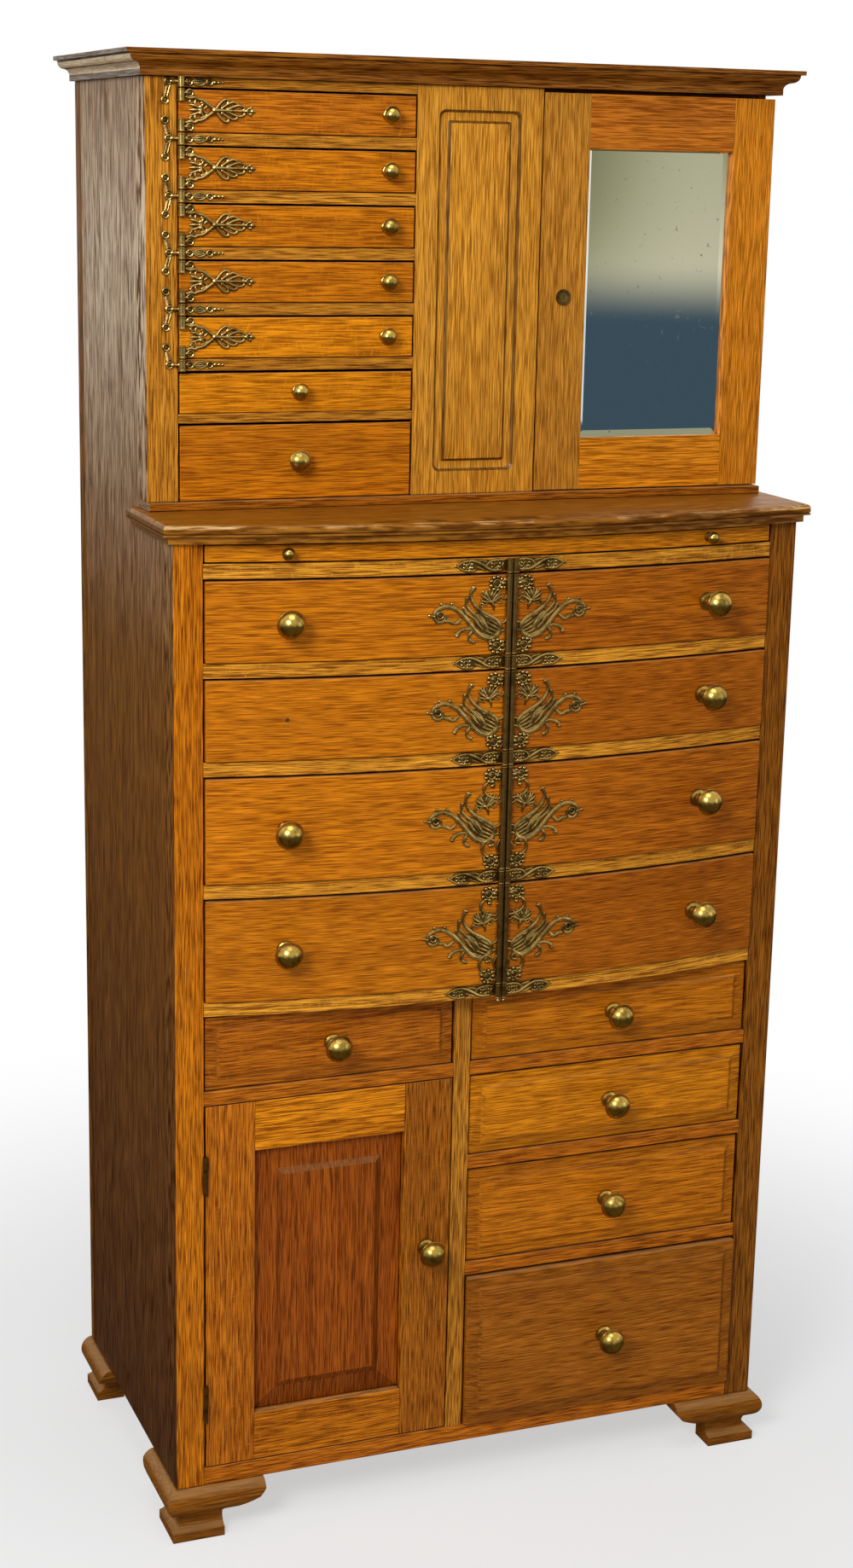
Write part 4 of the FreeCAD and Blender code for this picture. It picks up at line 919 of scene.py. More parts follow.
def ring(x, z, radius, thickness):
    """A closed stroke round a centre."""
    corners = [math.tau * k / 8 for k in range(8)]
    return [(x + radius * math.cos(a), z + radius * math.sin(a), thickness) for a in corners]


def screw_boss(bm, x, z, radius):
    """A raised ring on a hinge with a dark round-headed screw in it."""
    rim = [(0, 0), (radius, 0), (radius, 1.0), (radius - 0.4, 1.7), (radius - 1.0, 2.0), (radius - 1.7, 1.6),
           (radius - 2.0, 0.7), (0, 0.7)]
    head = radius - 2.1
    screw = [(0, 0.5), (head, 0.5), (head, 0.8), (head * 0.75, 1.5), (0, 1.8)]
    turned(bm, rim, facing(mm(x), mm(z)), AGED, 16)
    turned(bm, screw, facing(mm(x), mm(z)), DARK_BRASS_AND_SHADE, 12)


def bead(bm, x, z, radius):
    """A small round bead."""
    dome = [(0, 0), (radius, 0), (radius, radius * 0.4), (radius * 0.8, radius), (radius * 0.4, radius * 1.3),
            (0, radius * 1.4)]
    turned(bm, dome, facing(mm(x), mm(z)), AGED, 9)


def flower(bm, x, z, radius, petals=8):
    """A screw boss in a ring of petals."""
    screw_boss(bm, x, z, radius)
    reach = radius * 1.4
    for k in range(petals):
        angle = math.tau * (k + 0.5) / petals
        bead(bm, x + reach * math.cos(angle), z + reach * math.sin(angle), radius * 0.46)


def plate(bm, outline, thickness):
    """A flat ground on the plane y = 0 with an outline of (x, z) millimetres, dark as painted shade between
    the bars.
    """
    part = bmesh.new()
    face = part.faces.new([part.verts.new((mm(x), 0, mm(z))) for x, z in outline])
    moved = bmesh.ops.extrude_face_region(part, geom=[face])["geom"]
    front = [item for item in moved if isinstance(item, bmesh.types.BMVert)]
    bmesh.ops.translate(part, vec=(0, -mm(thickness), 0), verts=front)
    bmesh.ops.recalc_face_normals(part, faces=part.faces[:])
    bmesh.ops.subdivide_edges(part, edges=part.edges[:], cuts=2)
    bmesh.ops.triangulate(part, faces=part.faces[:])
    merge(bm, part, DARK_BRASS_AND_SHADE)


def barrel(bm, x, y, low, high, radius, finish=AGED):
    """An upright hinge knuckle with a thin collar at each end, all in metres."""
    tall = (high - low) * 1000
    wide = radius * 1000
    waist = wide - 0.35
    outline = [(0, 0), (wide - 0.5, 0), (wide, 0.5), (wide, 1.4), (waist, 2.0), (waist, tall - 2.0),
               (wide, tall - 1.4), (wide, tall - 0.5), (wide - 0.5, tall), (0, tall)]
    turned(bm, outline, Matrix.Translation((x, y, low)), finish, 24)


def bow_y(x, proud):
    """The bow's front surface at x, standing out from the rails by proud."""
    return bow_centre_y - math.sqrt((bow_radius + proud) ** 2 - x ** 2)


def lay_on_bow(bm, sign, proud, height):
    """Bends flat ornament on to the bow, beside the right-hand pin or mirrored beside the left-hand one."""
    for vert in bm.verts:
        x = bow_pin_x + vert.co.x
        vert.co = (sign * x, bow_y(x, proud) + vert.co.y, height + vert.co.z)
    if sign < 0:
        bmesh.ops.reverse_faces(bm, faces=bm.faces[:])


# Scrolled leaf of the bow hinges: (x from the pin, z from the middle of the tray, thickness)
WING = [
    [(39.3, 29.5, 2.2), (42.6, 24, 1.2), (40.6, 14, 1.4), (31.4, 4.6, 1.6), (20, -2, 1.7), (11.5, -8, 1.8),
     (8.5, -14.5, 1.8), (11.5, -21.5, 1.9), (18.5, -25.5, 2.1)],
    [(46.6, 18.8, 1.7), (47.6, 12, 1.1), (41.6, 4, 1.2), (31.6, -4, 1.3), (25.6, -10.5, 1.4), (23, -17, 1.2)],
    [(50.5, 8.5, 1.5), (47.5, 3, 1.0), (41, -2, 1.1), (35, -7, 1.2), (33, -13, 1.0)],
    [(10.5, -12, 0.6), (15.5, -8.8, 1.5), (21, -5.2, 0.8)],
    [(11, -15.5, 0.7), (17, -12, 1.6), (24, -7.8, 0.7)],
    [(12, -18.8, 0.7), (18.5, -15.8, 1.6), (25, -12.4, 0.7)],
    [(14.5, -21.5, 0.7), (20, -19.6, 1.5), (26, -16.6, 0.7)],
    [(18, -23.6, 0.6), (24, -22, 1.3), (29.5, -19, 0.6)],
    [(26, -6.5, 0.6), (30.5, -2.5, 1.3), (35.5, 1.6, 0.6)],
    [(28.5, -10.5, 0.6), (32.5, -5.6, 1.3), (38, -1, 0.6)],
    [(28, -16, 0.6), (33, -11, 1.4), (38, -5.5, 0.6)],
    [(19, -2.4, 0.6), (24.5, -2.2, 1.2), (29, 1.6, 0.6)],
    [(1.5, -22, 1.0), (4.2, -17.4, 1.4), (8.2, -18.6, 1.1)],
    [(1.5, -4, 1.0), (4, -8.5, 1.2), (8, -9.5, 0.9)],
]
WING_GROUND = [(9.5, -14.5), (12, -21), (19, -25), (27, -23), (34, -16), (38.5, -8), (40, -1), (36, 3),
               (29, 2.6), (20, -2.4), (12.5, -7.6)]
ARM = [
    [(15, -26.5, 1.5), (24, -25, 2.0), (32.5, -20.5, 2.2), (40.5, -12, 2.1), (48.8, -2, 2.0), (58, 6.2, 1.9),
     (67, 10.2, 1.8), (76, 9.4, 1.7), (82.6, 4, 1.6), (82.4, -2.5, 1.4), (77.5, -6.3, 1.3), (71.6, -3.6, 1.2),
     (70.8, 1.6, 1.0)],
    [(83, 0.5, 1.4), (86.2, 1.2, 0.9), (88.4, 1.6, 1.5)],
    [(70, -5, 1.3), (64.5, -6, 1.7), (60.5, -8.2, 1.2), (56.8, -6.8, 1.6), (53.5, -3.5, 1.1)],
    [(37, -16.5, 1.4), (44, -14.2, 1.3), (51, -15, 1.3), (55.8, -18, 1.4), (57.5, -21.5, 2.0)],
    [(40.5, -17, 1.2), (43.5, -21.5, 1.3), (42.8, -26.5, 1.3), (38.6, -28.8, 1.9)],
    [(61, 9, 1.0), (63.8, 13.2, 1.6)],
    [(72.5, 10.5, 0.9), (75.5, 13.4, 1.4)],
]
ACANTHUS = [
    [(19, 13, 1.2), (13.5, 16.5, 1.9), (7.5, 19.5, 0.7)],
    [(19, 14, 1.2), (13.5, 20.5, 2.0), (9, 26, 0.7)],
    [(20, 15, 1.2), (19.5, 21, 2.0), (17.5, 27, 0.8)],
    [(20.5, 15, 1.2), (25, 21, 2.1), (26, 26.5, 0.8)],
    [(21, 14.5, 1.2), (27.5, 18.5, 1.9), (31.5, 22, 0.7)],
    [(21, 13.5, 1.1), (27.8, 14.5, 1.6), (31.5, 16.5, 0.6)],
    [(20, 14, 1.6), (17.2, 9.5, 1.5), (16.2, 4.2, 0.5)],
    [(28, 15.5, 0.8), (31.8, 11.5, 1.0), (30.8, 5.8, 0.9)],
    [(9, 19, 0.9), (4.5, 16.5, 1.0), (2.2, 20, 0.9)],
    [(17.5, 15, 0.6), (12.5, 18.6, 1.3), (9.5, 22.5, 0.9)],
    [(19.5, 17, 0.6), (16.5, 21.5, 1.3), (13.5, 26.5, 0.9)],
    [(20.5, 17, 0.6), (22, 22, 1.3), (21.8, 27, 0.9)],
    [(21.5, 15.5, 0.6), (26.5, 20.5, 1.3), (29, 24.8, 0.9)],
    [(14, 14.6, 0.7), (10.5, 12, 1.1), (8, 13.5, 0.9)],
    [(24, 13, 0.7), (26.5, 10.5, 1.1), (29, 12, 0.9)],
]
ACANTHUS_GROUND = [(17, 11.5), (20.5, 10.5), (25, 13), (28.5, 17.5), (26, 23), (21, 24.5), (15, 23.5),
                   (11, 19.5), (13, 14.5)]
# The taller rows have one more curl above the wing and one below it
TALL_CURLS = [
    [(12.5, 36.2, 1.6), (10.8, 38.6, 1.0), (14, 40.6, 1.1), (19.5, 39.2, 1.2), (22.4, 33.6, 1.3),
     (19.6, 27.2, 1.3), (12.5, 23.4, 1.2), (5, 21.8, 1.0)],
    [(3.5, 22, 1.0), (2.2, 28, 1.1), (3, 35, 1.0)],
    [(13.5, -30.5, 1.4), (9.2, -28.6, 1.1), (10.8, -24.6, 1.2), (16.8, -23.8, 1.2), (22.2, -30, 1.3),
     (21.2, -38.5, 1.3), (16, -43, 1.1)],
    [(2.5, -25, 1.0), (5.5, -33, 1.1), (3.5, -40, 1.0)],
]
# Strap on a bow rail: (x from the pin, z from the middle of the rail, thickness)
BOW_STRAP = [
    [(8, -5.2, 1.0), (20, -4.4, 1.6), (29, 0.6, 1.9), (37, 4.6, 1.6), (44, 5.6, 1.2), (52, 3.6, 1.0),
     (57, 0.5, 0.7)],
    [(38, -5, 1.0), (47, -5.4, 1.1), (53.5, -2.8, 0.9), (58, 0.4, 0.6)],
    [(4, 5.2, 1.0), (14, 5.8, 1.2), (21, 3.6, 1.0), (25, -1, 0.8)],
    [(25, -5, 0.7), (30, -3.2, 1.2), (35.5, -1, 0.6)],
    [(24, 3.5, 0.6), (28.5, 5, 1.0), (33, 5.4, 0.5)],
    [(2, -4, 0.8), (6, -1, 1.2), (5, 3, 0.8)],
]
BOW_STRAP_OUTLINE = [(0, -5.6), (20, -5.4), (30, -3.4), (38, -5.4), (48, -5.6), (54, -3), (58.6, 0.4),
                     (54, 3.4), (44, 6), (32, 5.6), (15, 6.2), (0, 5.8)]
# Half of an upper hinge's leaf, mirrored below: (x from the pin, z from the middle of the tray, thickness)
UPPER_LEAF_HALF = [
    [(6, 12.6, 1.0), (10, 11.4, 1.3), (14.6, 12.2, 1.3), (17.5, 10.8, 1.2), (23.5, 9.4, 1.2),
     (29.5, 5.2, 1.3), (35.5, 0.8, 1.5)],
    [(22.6, 7.4, 0.9), (27.5, 4.6, 1.0), (25, 1.4, 0.8)],
    [(20.5, 1.8, 0.8), (14.5, 4.2, 1.1), (9.4, 5.4, 0.5)],
    [(12.5, 11, 0.8), (9.8, 8.2, 0.9), (11.8, 6.2, 0.8)],
    [(37.5, 1.2, 1.1), (42, 7.2, 1.0), (46.5, 10.6, 1.1), (50.3, 10.2, 1.1), (49.5, 7, 0.9), (44, 3, 0.8)],
    [(44, 2.4, 0.9), (51, 7, 1.0), (57, 8.4, 1.1), (59.8, 6.2, 1.0), (56.5, 3.6, 0.8), (48, 1.6, 0.8)],
    [(50, 1.0, 0.9), (57, 4.4, 1.0), (63.5, 5.2, 1.1), (67.5, 3, 1.0), (66.5, 0.6, 0.8)],
    [(74, 3, 0.9), (75.4, 5, 0.5)],
]
UPPER_LEAF_MIDDLE = [
    [(36, 0, 1.8), (45, 0, 1.3), (58, 0, 0.9), (70, 0, 1.2)],
    [(20.9, -3, 1.3), (20.9, 3, 1.3)],
    [(20, 0, 1), (14, 0, 1.3), (8.6, 0, 0.5)],
    [(76, 0, 1.3), (80, 0, 0.5)],
]
UPPER_STRAP_HALF = [
    [(13, 0, 0.8), (18, 3.2, 0.9), (24, 2.6, 0.9), (27.5, 0.4, 0.8)],
    [(14.5, 0.4, 0.5), (20, 1.2, 1.0), (25.5, 0.4, 0.5)],
]


def below(strokes):
    """The same strokes mirrored below the middle."""
    return [[(x, -z, thickness) for x, z, thickness in stroke] for stroke in strokes]


def twisted_band(start, end, turns=6):
    """Slanting strands of a rope-like band between two places."""
    strands = []
    for k in range(turns):
        share = (k + 0.5) / turns
        x = start[0] + (end[0] - start[0]) * share
        z = start[1] + (end[1] - start[1]) * share
        strands.append([(x - 2.0, z - 1.3, 0.7), (x, z, 1.2), (x + 2.0, z + 1.3, 0.7)])
    return strands


def middle_of(node):
    """The height of a node's middle."""
    low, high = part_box(node)
    return (low.z + high.z) / 2


class CABINET_OT_bow_hinges(bpy.types.Operator):
    """Cast the scrolled hinges of the bowed swing trays"""

    bl_idname = "cabinet.bow_hinges"
    bl_label = "Bow hinges"

    def execute(self, context):
        for row in ROWS:
            for side, sign in SIDES:
                self.leaf("bow_tray_%s_%d" % (side, row), sign)
        self.straps()
        return {"FINISHED"}

    def leaf(self, tray, sign):
        """One tray's leaf with its knuckle."""
        low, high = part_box(tray)
        half = (high.z - low.z) * 500
        bm = bmesh.new()
        plate(bm, WING_GROUND, 0.9)
        plate(bm, ACANTHUS_GROUND, 0.9)
        ridged(bm, WING[:3] + ARM[:1] + ARM[2:5])
        scrolls(bm, WING[3:] + ARM[1:2] + ARM[5:] + ACANTHUS, bold=1.0)
        flower(bm, 13.5, half - 10, 5.0, 9)
        flower(bm, 12.5, 9.2 - half, 5.0, 9)
        screw_boss(bm, 76.6, 1.4, 4.6)
        for z in (half - 10, 9.2 - half):
            plate(bm, [(0, z - 6), (8, z - 5), (8, z + 5), (0, z + 6)], 0.9)
            for rise in (-4.6, 0, 4.6):
                bead(bm, 4.4, z + rise, 1.7)
        side_leaves = [[(9, half - 9, 1.2), (4, half - 6.5, 1.6), (1, half - 9, 1.0)],
                       [(6, 12 - half, 1.0), (2.6, 8 - half, 1.4), (4, 3.5 - half, 1.2)],
                       [(18, 10 - half, 1.0), (20.5, 13 - half, 1.3), (18, 17 - half, 0.8)]]
        scrolls(bm, side_leaves)
        if half > TALL_ROW:
            scrolls(bm, TALL_CURLS)
        lay_on_bow(bm, sign, tray_proud, middle_of(tray))
        barrel(bm, sign * bow_pin_x, bow_pin_y, low.z, high.z, bow_barrel, DARK_BRASS_AND_SHADE)
        self.leaf_edges(bm, sign, low.z, high.z)
        show(tray + "_hinge", bm, brass_finishes(), tray, "brass_aged", tray + "_brass")

    def leaf_edges(self, bm, sign, low, high):
        """Bright upright ridges where a leaf wraps round its knuckle."""
        for angle in (-0.75, 0.25, 1.15):
            x = sign * (bow_pin_x + (bow_barrel - mm(0.5)) * math.sin(angle))
            y = bow_pin_y - (bow_barrel - mm(0.5)) * math.cos(angle)
            barrel(bm, x, y, low, high, mm(0.75))

    def straps(self):
        """The straps and knuckles on the rails, and the pins."""
        bm = bmesh.new()
        lows = [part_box("bow_tray_right_%d" % row)[0].z - tray_gap for row in ROWS]
        highs = [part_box("bow_tray_right_%d" % row)[1].z + tray_gap for row in ROWS]
        rails = list(zip(highs[1:], lows))
        rails += [(lows[-1] - bow_rail, lows[-1]), (highs[0], highs[0] + bow_rail)]
        for low, high in rails:
            for sign in (-1, 1):
                strap = bmesh.new()
                plate(strap, BOW_STRAP_OUTLINE, 0.9)
                scrolls(strap, BOW_STRAP)
                flower(strap, 13.4, 0, 3.5, 8)
                flower(strap, 45, 0, 3.5, 8)
                bead(strap, 59, 0.4, 1.5)
                lay_on_bow(strap, sign, 0.0, (low + high) / 2)
                barrel(strap, sign * bow_pin_x, bow_pin_y, low, high, bow_barrel, DARK_BRASS_AND_SHADE)
                self.leaf_edges(strap, sign, low, high)
                merge(bm, strap)
        for sign in (-1, 1):
            tip = [(0, -4), (1.6, -3.2), (2.2, -1.6), (1.4, 0), (0, 0.2)]
            turned(bm, tip, Matrix.Translation((sign * bow_pin_x, bow_pin_y, lows[-1] - bow_rail)), AGED, 12)
        show("bow_hinge_straps", bm, brass_finishes(), "case", "brass_aged", "fixed_hinge_leaves")


class CABINET_OT_upper_hinges(bpy.types.Operator):
    """Cast the palmette hinges of the upper swing trays"""

    bl_idname = "cabinet.upper_hinges"
    bl_label = "Upper hinges"

    def execute(self, context):
        for tray in UPPER_TRAYS:
            self.leaf("upper_tray_%d" % tray)
        self.brackets()
        return {"FINISHED"}

    def leaf(self, tray):
        """One tray's leaf with its two knuckles."""
        low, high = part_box(tray)
        bm = bmesh.new()
        scrolls(bm, UPPER_LEAF_HALF + below(UPPER_LEAF_HALF) + UPPER_LEAF_MIDDLE, bold=1.55)
        scrolls(bm, [ring(19.4, z, 4.2, 0.9) for z in (-7, 7)], AGED, True)
        for z in (-16.7, 16.7):
            screw_boss(bm, 9.8, z, 4.4)
            scrolls(bm, [[(1, z, 1.5), (6, z, 1.5)]])
        screw_boss(bm, 73.4, 0, 4.0)
        bead(bm, 36, 0, 2.6)
        place = Matrix.Translation((upper_pin_x, upper_tray_y, middle_of(tray)))
        bmesh.ops.transform(bm, matrix=place, verts=bm.verts[:])
        barrel(bm, upper_pin_x, upper_pin_y, low.z, low.z + upper_knuckle, upper_barrel)
        barrel(bm, upper_pin_x, upper_pin_y, high.z - upper_knuckle, high.z, upper_barrel)
        show(tray + "_hinge", bm, brass_finishes(), tray, "brass_aged", tray + "_brass")

    def brackets(self):
        """The bosses on the post, and the knuckles and straps on the rails."""
        bm = bmesh.new()
        trays = [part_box("upper_tray_%d" % tray) for tray in UPPER_TRAYS]
        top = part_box("centre_panel")[1].z
        rails = [(trays[0][1].z + tray_gap, top)]
        for upper, lower in zip(trays, trays[1:]):
            rails.append((lower[1].z + tray_gap, upper[0].z - tray_gap))
        rails.append((trays[-1][0].z - tray_gap - (rails[1][1] - rails[1][0]), trays[-1][0].z - tray_gap))
        for number, (low, high) in enumerate(rails):
            part = bmesh.new()
            ways = [-1] if number == 0 else [1] if number == len(rails) - 1 else [-1, 1]
            screw_boss(part, -12.7, 0, 4.3)
            scrolls(part, [[(-9, 0, 1.7), (-2, 0, 1.7)]])
            for way in ways:
                screw_boss(part, -16, way * 18.3, 4.4)
                scrolls(part, twisted_band((-13.4, way * 4.5), (-15.6, way * 13.6)), DARK_BRASS_AND_SHADE)
                edge = [(-10.5, way * 4, 0.7), (-12, way * 9, 0.8), (-13.5, way * 14, 0.7)]
                scrolls(part, [edge])
            screw_boss(part, 9.6, 0, 4.2)
            screw_boss(part, 31, 0, 4.0)
            scrolls(part, UPPER_STRAP_HALF + below(UPPER_STRAP_HALF) + [[(1, 0, 1.7), (6, 0, 1.7)]])
            for x, radius in ((36.6, 2.2), (40.9, 1.8), (45, 1.5)):
                bead(part, x, 0, radius)
            place = Matrix.Translation((upper_pin_x, upper_face_y, (low + high) / 2))
            bmesh.ops.transform(part, matrix=place, verts=part.verts[:])
            barrel(part, upper_pin_x, upper_pin_y, low, high, upper_barrel)
            merge(bm, part)
        show("upper_hinge_brackets", bm, brass_finishes(), "case", "brass_aged", "fixed_hinge_leaves")


def keep_boards(bm, test):
    """Leaves only the solids whose vertices all pass a test."""
    board = bm.verts.layers.int["board"]
    dropped = {vert[board] for vert in bm.verts if not test(vert.co)}
    bmesh.ops.delete(bm, geom=[vert for vert in bm.verts if vert[board] in dropped], context="VERTS")


class CABINET_OT_door_hinges(bpy.types.Operator):
    """Finish the doors' butt hinges and the lock"""

    bl_idname = "cabinet.door_hinges"
    bl_label = "Door hinges and lock"

    def execute(self, context):
        finishes = [brass_finishes()[DARK_BRASS_AND_SHADE]]
        panel_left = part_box("panel_door_frame")[0].x
        mirror_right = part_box("mirror_door_frame")[1].x
        edge = mm(24)

        def by_a_door(co):
            by_panel = co.x < panel_left + edge and co.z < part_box("panel_door_frame")[1].z
            by_mirror = co.x > mirror_right - edge and co.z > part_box("mirror_door_frame")[0].z
            return by_panel or by_mirror

        for piece, body, node in (("door_hinge_leaves", "case", "fixed_hinge_leaves"),
                                  ("panel_door_hinges", "panel_door", "panel_door_brass"),
                                  ("mirror_door_hinges", "mirror_door", "mirror_door_brass")):
            leaves = boards(node)
            keep_boards(leaves, by_a_door)
            show(piece, leaves, finishes, body, "brass_aged", node)
        self.lock()
        return {"FINISHED"}

    def lock(self):
        """A worn round lock: a flange on the door, and a plug with a key slot and a cam behind."""
        finishes = brass_finishes()
        low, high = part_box("lock_plug")
        x = (low.x + high.x) / 2
        plug = (high.x - low.x) * 500
        bm = boards("mirror_door_brass")
        keep_boards(bm, lambda co: abs(co.x - x) < mm(14))
        for face in bm.faces:
            face.material_index = DARK_BRASS_AND_SHADE
        z = low.z + mm(plug)
        for vert in bm.verts:
            out = Vector((vert.co.x - x, 0, vert.co.z - z))
            if vert.co.y < low.y + mm(3) and out.length > mm(plug + 2):
                vert.co -= out * 0.2
        show("lock_case", bm, finishes, "mirror_door", "brass_aged", "mirror_door_brass")
        plug_mesh = boards("lock_plug")
        for face in plug_mesh.faces:
            face.material_index = AGED
        # The key slot is a thin dark slab in front of the plug, painted shade for the opening
        slot = bmesh.new()
        bmesh.ops.create_cube(slot, size=1.0)
        bmesh.ops.scale(slot, vec=(mm(1.2), mm(0.3), mm(6)), verts=slot.verts[:])
        bmesh.ops.bevel(slot, geom=slot.edges[:], affect="EDGES", offset=mm(0.1), segments=1, profile=0.5,
                        material=-1)
        bmesh.ops.translate(slot, vec=(x, low.y, z), verts=slot.verts[:])
        merge(plug_mesh, slot, DARK_BRASS_AND_SHADE)
        show("lock_plug_turning", plug_mesh, finishes, "lock_plug", "brass_aged", "lock_plug")


def knob_profile(head, length, rim, rose, rose_thickness, neck):
    """A mushroom knob in millimetres: rounded rose, trumpet neck, thin rim and a round dome."""
    foot = rose_thickness
    ball = (length ** 2 - head ** 2 - rim ** 2) / (2 * (length - rim))
    round_radius = length - ball
    first = math.asin((rim - ball) / round_radius) + 0.1
    outline = [(0, 0), (rose, 0), (rose, foot * 0.35), (rose * 0.93, foot * 0.75), (rose * 0.78, foot),
               (neck * 1.05, foot * 1.15), (neck * 0.8, foot + (rim - foot) * 0.3),
               (neck * 0.78, foot + (rim - foot) * 0.5), (neck * 0.98, foot + (rim - foot) * 0.72),
               (neck * 1.5, foot + (rim - foot) * 0.88), (head * 0.86, rim - 0.9), (head * 0.97, rim - 0.6),
               (head, rim), (head * 0.985, rim + 0.5), (head * 0.95, rim + 0.7)]
    for k in range(9):
        angle = first + (math.pi / 2 - first) * k / 8
        outline.append((max(0.0, round_radius * math.cos(angle)), ball + round_radius * math.sin(angle)))
    return outline


BIG_HEAD, UPPER_HEAD = 15.5, 9.5
BIG_KNOB = knob_profile(BIG_HEAD, 36, 23, 10, 4, 6)
UPPER_KNOB = knob_profile(UPPER_HEAD, 20, 12.5, 6.5, 2.5, 4)
MIDDLE_KNOB = knob_profile(12, 20, 12.5, 6.5, 2.5, 4)
SLIDE_KNOB = knob_profile(7, 16, 10, 5, 2, 3)


class CABINET_OT_knobs(bpy.types.Operator):
    """Turn the brass knobs"""

    bl_idname = "cabinet.knobs"
    bl_label = "Knobs"

    def execute(self, context):
        for row in ROWS:
            self.on_front("right_drawer_%d" % row, BIG_KNOB)
        self.on_front("small_drawer", BIG_KNOB)
        self.on_front("upper_drawer_a", UPPER_KNOB)
        self.on_front("upper_drawer_b", MIDDLE_KNOB)
        for tray in UPPER_TRAYS:
            name = "upper_tray_%d" % tray
            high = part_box(name + "_brass")[1]
            place = facing(high.x - mm(UPPER_HEAD), middle_of(name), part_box(name)[0].y)
            self.knob(name, UPPER_KNOB, [place])
        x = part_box("panel_door_brass")[1].x - mm(BIG_HEAD)
        z = middle_of("panel_door_frame") + door_knob_lift
        self.knob("panel_door", BIG_KNOB, [facing(x, z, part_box("panel_door_frame")[0].y)])
        for row in ROWS:
            for side, sign in SIDES:
                name = "bow_tray_%s_%d" % (side, row)
                if name != BARE_TRAY:
                    self.knob(name, BIG_KNOB, [self.on_bow(sign, tray_proud, middle_of(name))])
        places = [self.on_bow(sign, 0.0, middle_of("writing_slide")) for sign in (-1, 1)]
        self.knob("writing_slide", SLIDE_KNOB, places, "writing_slide_knobs")
        self.bare_hole()
        return {"FINISHED"}

    def knob(self, body, profile, places, *nodes):
        """A body's knob or knobs."""
        bm = bmesh.new()
        for place in places:
            turned(bm, profile, place, POLISHED, 40)
        show(body + "_pull", bm, brass_finishes(), body, "brass", *nodes)

    def on_front(self, body, profile):
        """A knob where the CAD one stands on a flat front."""
        low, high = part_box(body + "_knob")
        self.knob(body, profile, [facing((low.x + high.x) / 2, (low.z + high.z) / 2, high.y)], body + "_knob")

    def on_bow(self, sign, proud, height):
        """A place on the bow, square to it."""
        turn = math.asin(bow_knob_x / (bow_radius + proud))
        return facing(sign * bow_knob_x, height, bow_y(bow_knob_x, proud), sign * turn)

    def bare_hole(self):
        """The tray whose knob is missing: its screw hole as a flat dark disc, painted shade, in the ring that
        the rose left.
        """
        bm = bmesh.new()
        place = self.on_bow(-1, tray_proud, middle_of(BARE_TRAY))
        turned(bm, [(0, 0), (2.4, 0), (2.2, 0.12), (0, 0.12)], place, DARK_BRASS_AND_SHADE, 14)
        show(BARE_TRAY + "_screw_hole", bm, brass_finishes(), BARE_TRAY, "brass_aged")


class CABINET_OT_stage(bpy.types.Operator):
    """Set the floor, the soft light and the camera"""

    bl_idname = "cabinet.stage"
    bl_label = "Stage"

    def execute(self, context):
        make_floor()
        make_world()
        make_lamps()
        make_camera()
        context.scene.view_settings.view_transform = "Standard"
        return {"FINISHED"}


# The floor's shadow shows nearest to the cabinet and is gone at the far end, in metres from the middle
SHADOW_NEAR, SHADOW_FAR = 0.35, 1.5


def make_floor():
    """A wide pale floor that keeps the cabinet's shadow."""
    bm = bmesh.new()
    bmesh.ops.create_grid(bm, x_segments=1, y_segments=1, size=14.0)
    mesh = bpy.data.meshes.new("floor")
    bm.to_mesh(mesh)
    bm.free()
    floor = bpy.data.objects.new("floor", mesh)
    bpy.context.scene.collection.objects.link(floor)
    material, tree = new_material("pale_floor")
    seen = add(tree, "LightPath", out="Is Camera Ray")
    matt = add(tree, "BsdfDiffuse", Color=grey(0.82))
    glow = add(tree, "Emission", Color=grey(1.0), Strength=1.0)
    place = add(tree, "TexCoord", out="Object")
    away = add(tree, "VectorMath", "LENGTH", "Value", _0=place)
    fade = add(tree, "MapRange", SMOOTH, Value=away, From_Min=SHADOW_NEAR, From_Max=SHADOW_FAR, To_Min=0.55)
    share = add(tree, "Math", "MULTIPLY", _0=seen, _1=fade)
    both = add(tree, "MixShader", _0=share, _1=matt, _2=glow)
    add(tree, "OutputMaterial", Surface=both)
    mesh.materials.append(material)
    floor.visible_glossy = False


# Tones of the room in front of the cabinet: its shapes, its floor far and near, and its ceiling
ROOM_TONES = ((0.40, linear("#5d5742")), (0.48, linear("#a3a07c")), (0.60, linear("#f0e6c8")))
ROOM_FLOOR, ROOM_SKIRTING, ROOM_CEILING = linear("#6a5836"), linear("#425663"), linear("#f4eddc")
# What shines on the brass from behind, low down and higher up
BACK_LOW, BACK_HIGH = grey(0.03), (1.3, 1.16, 0.96, 1.0)


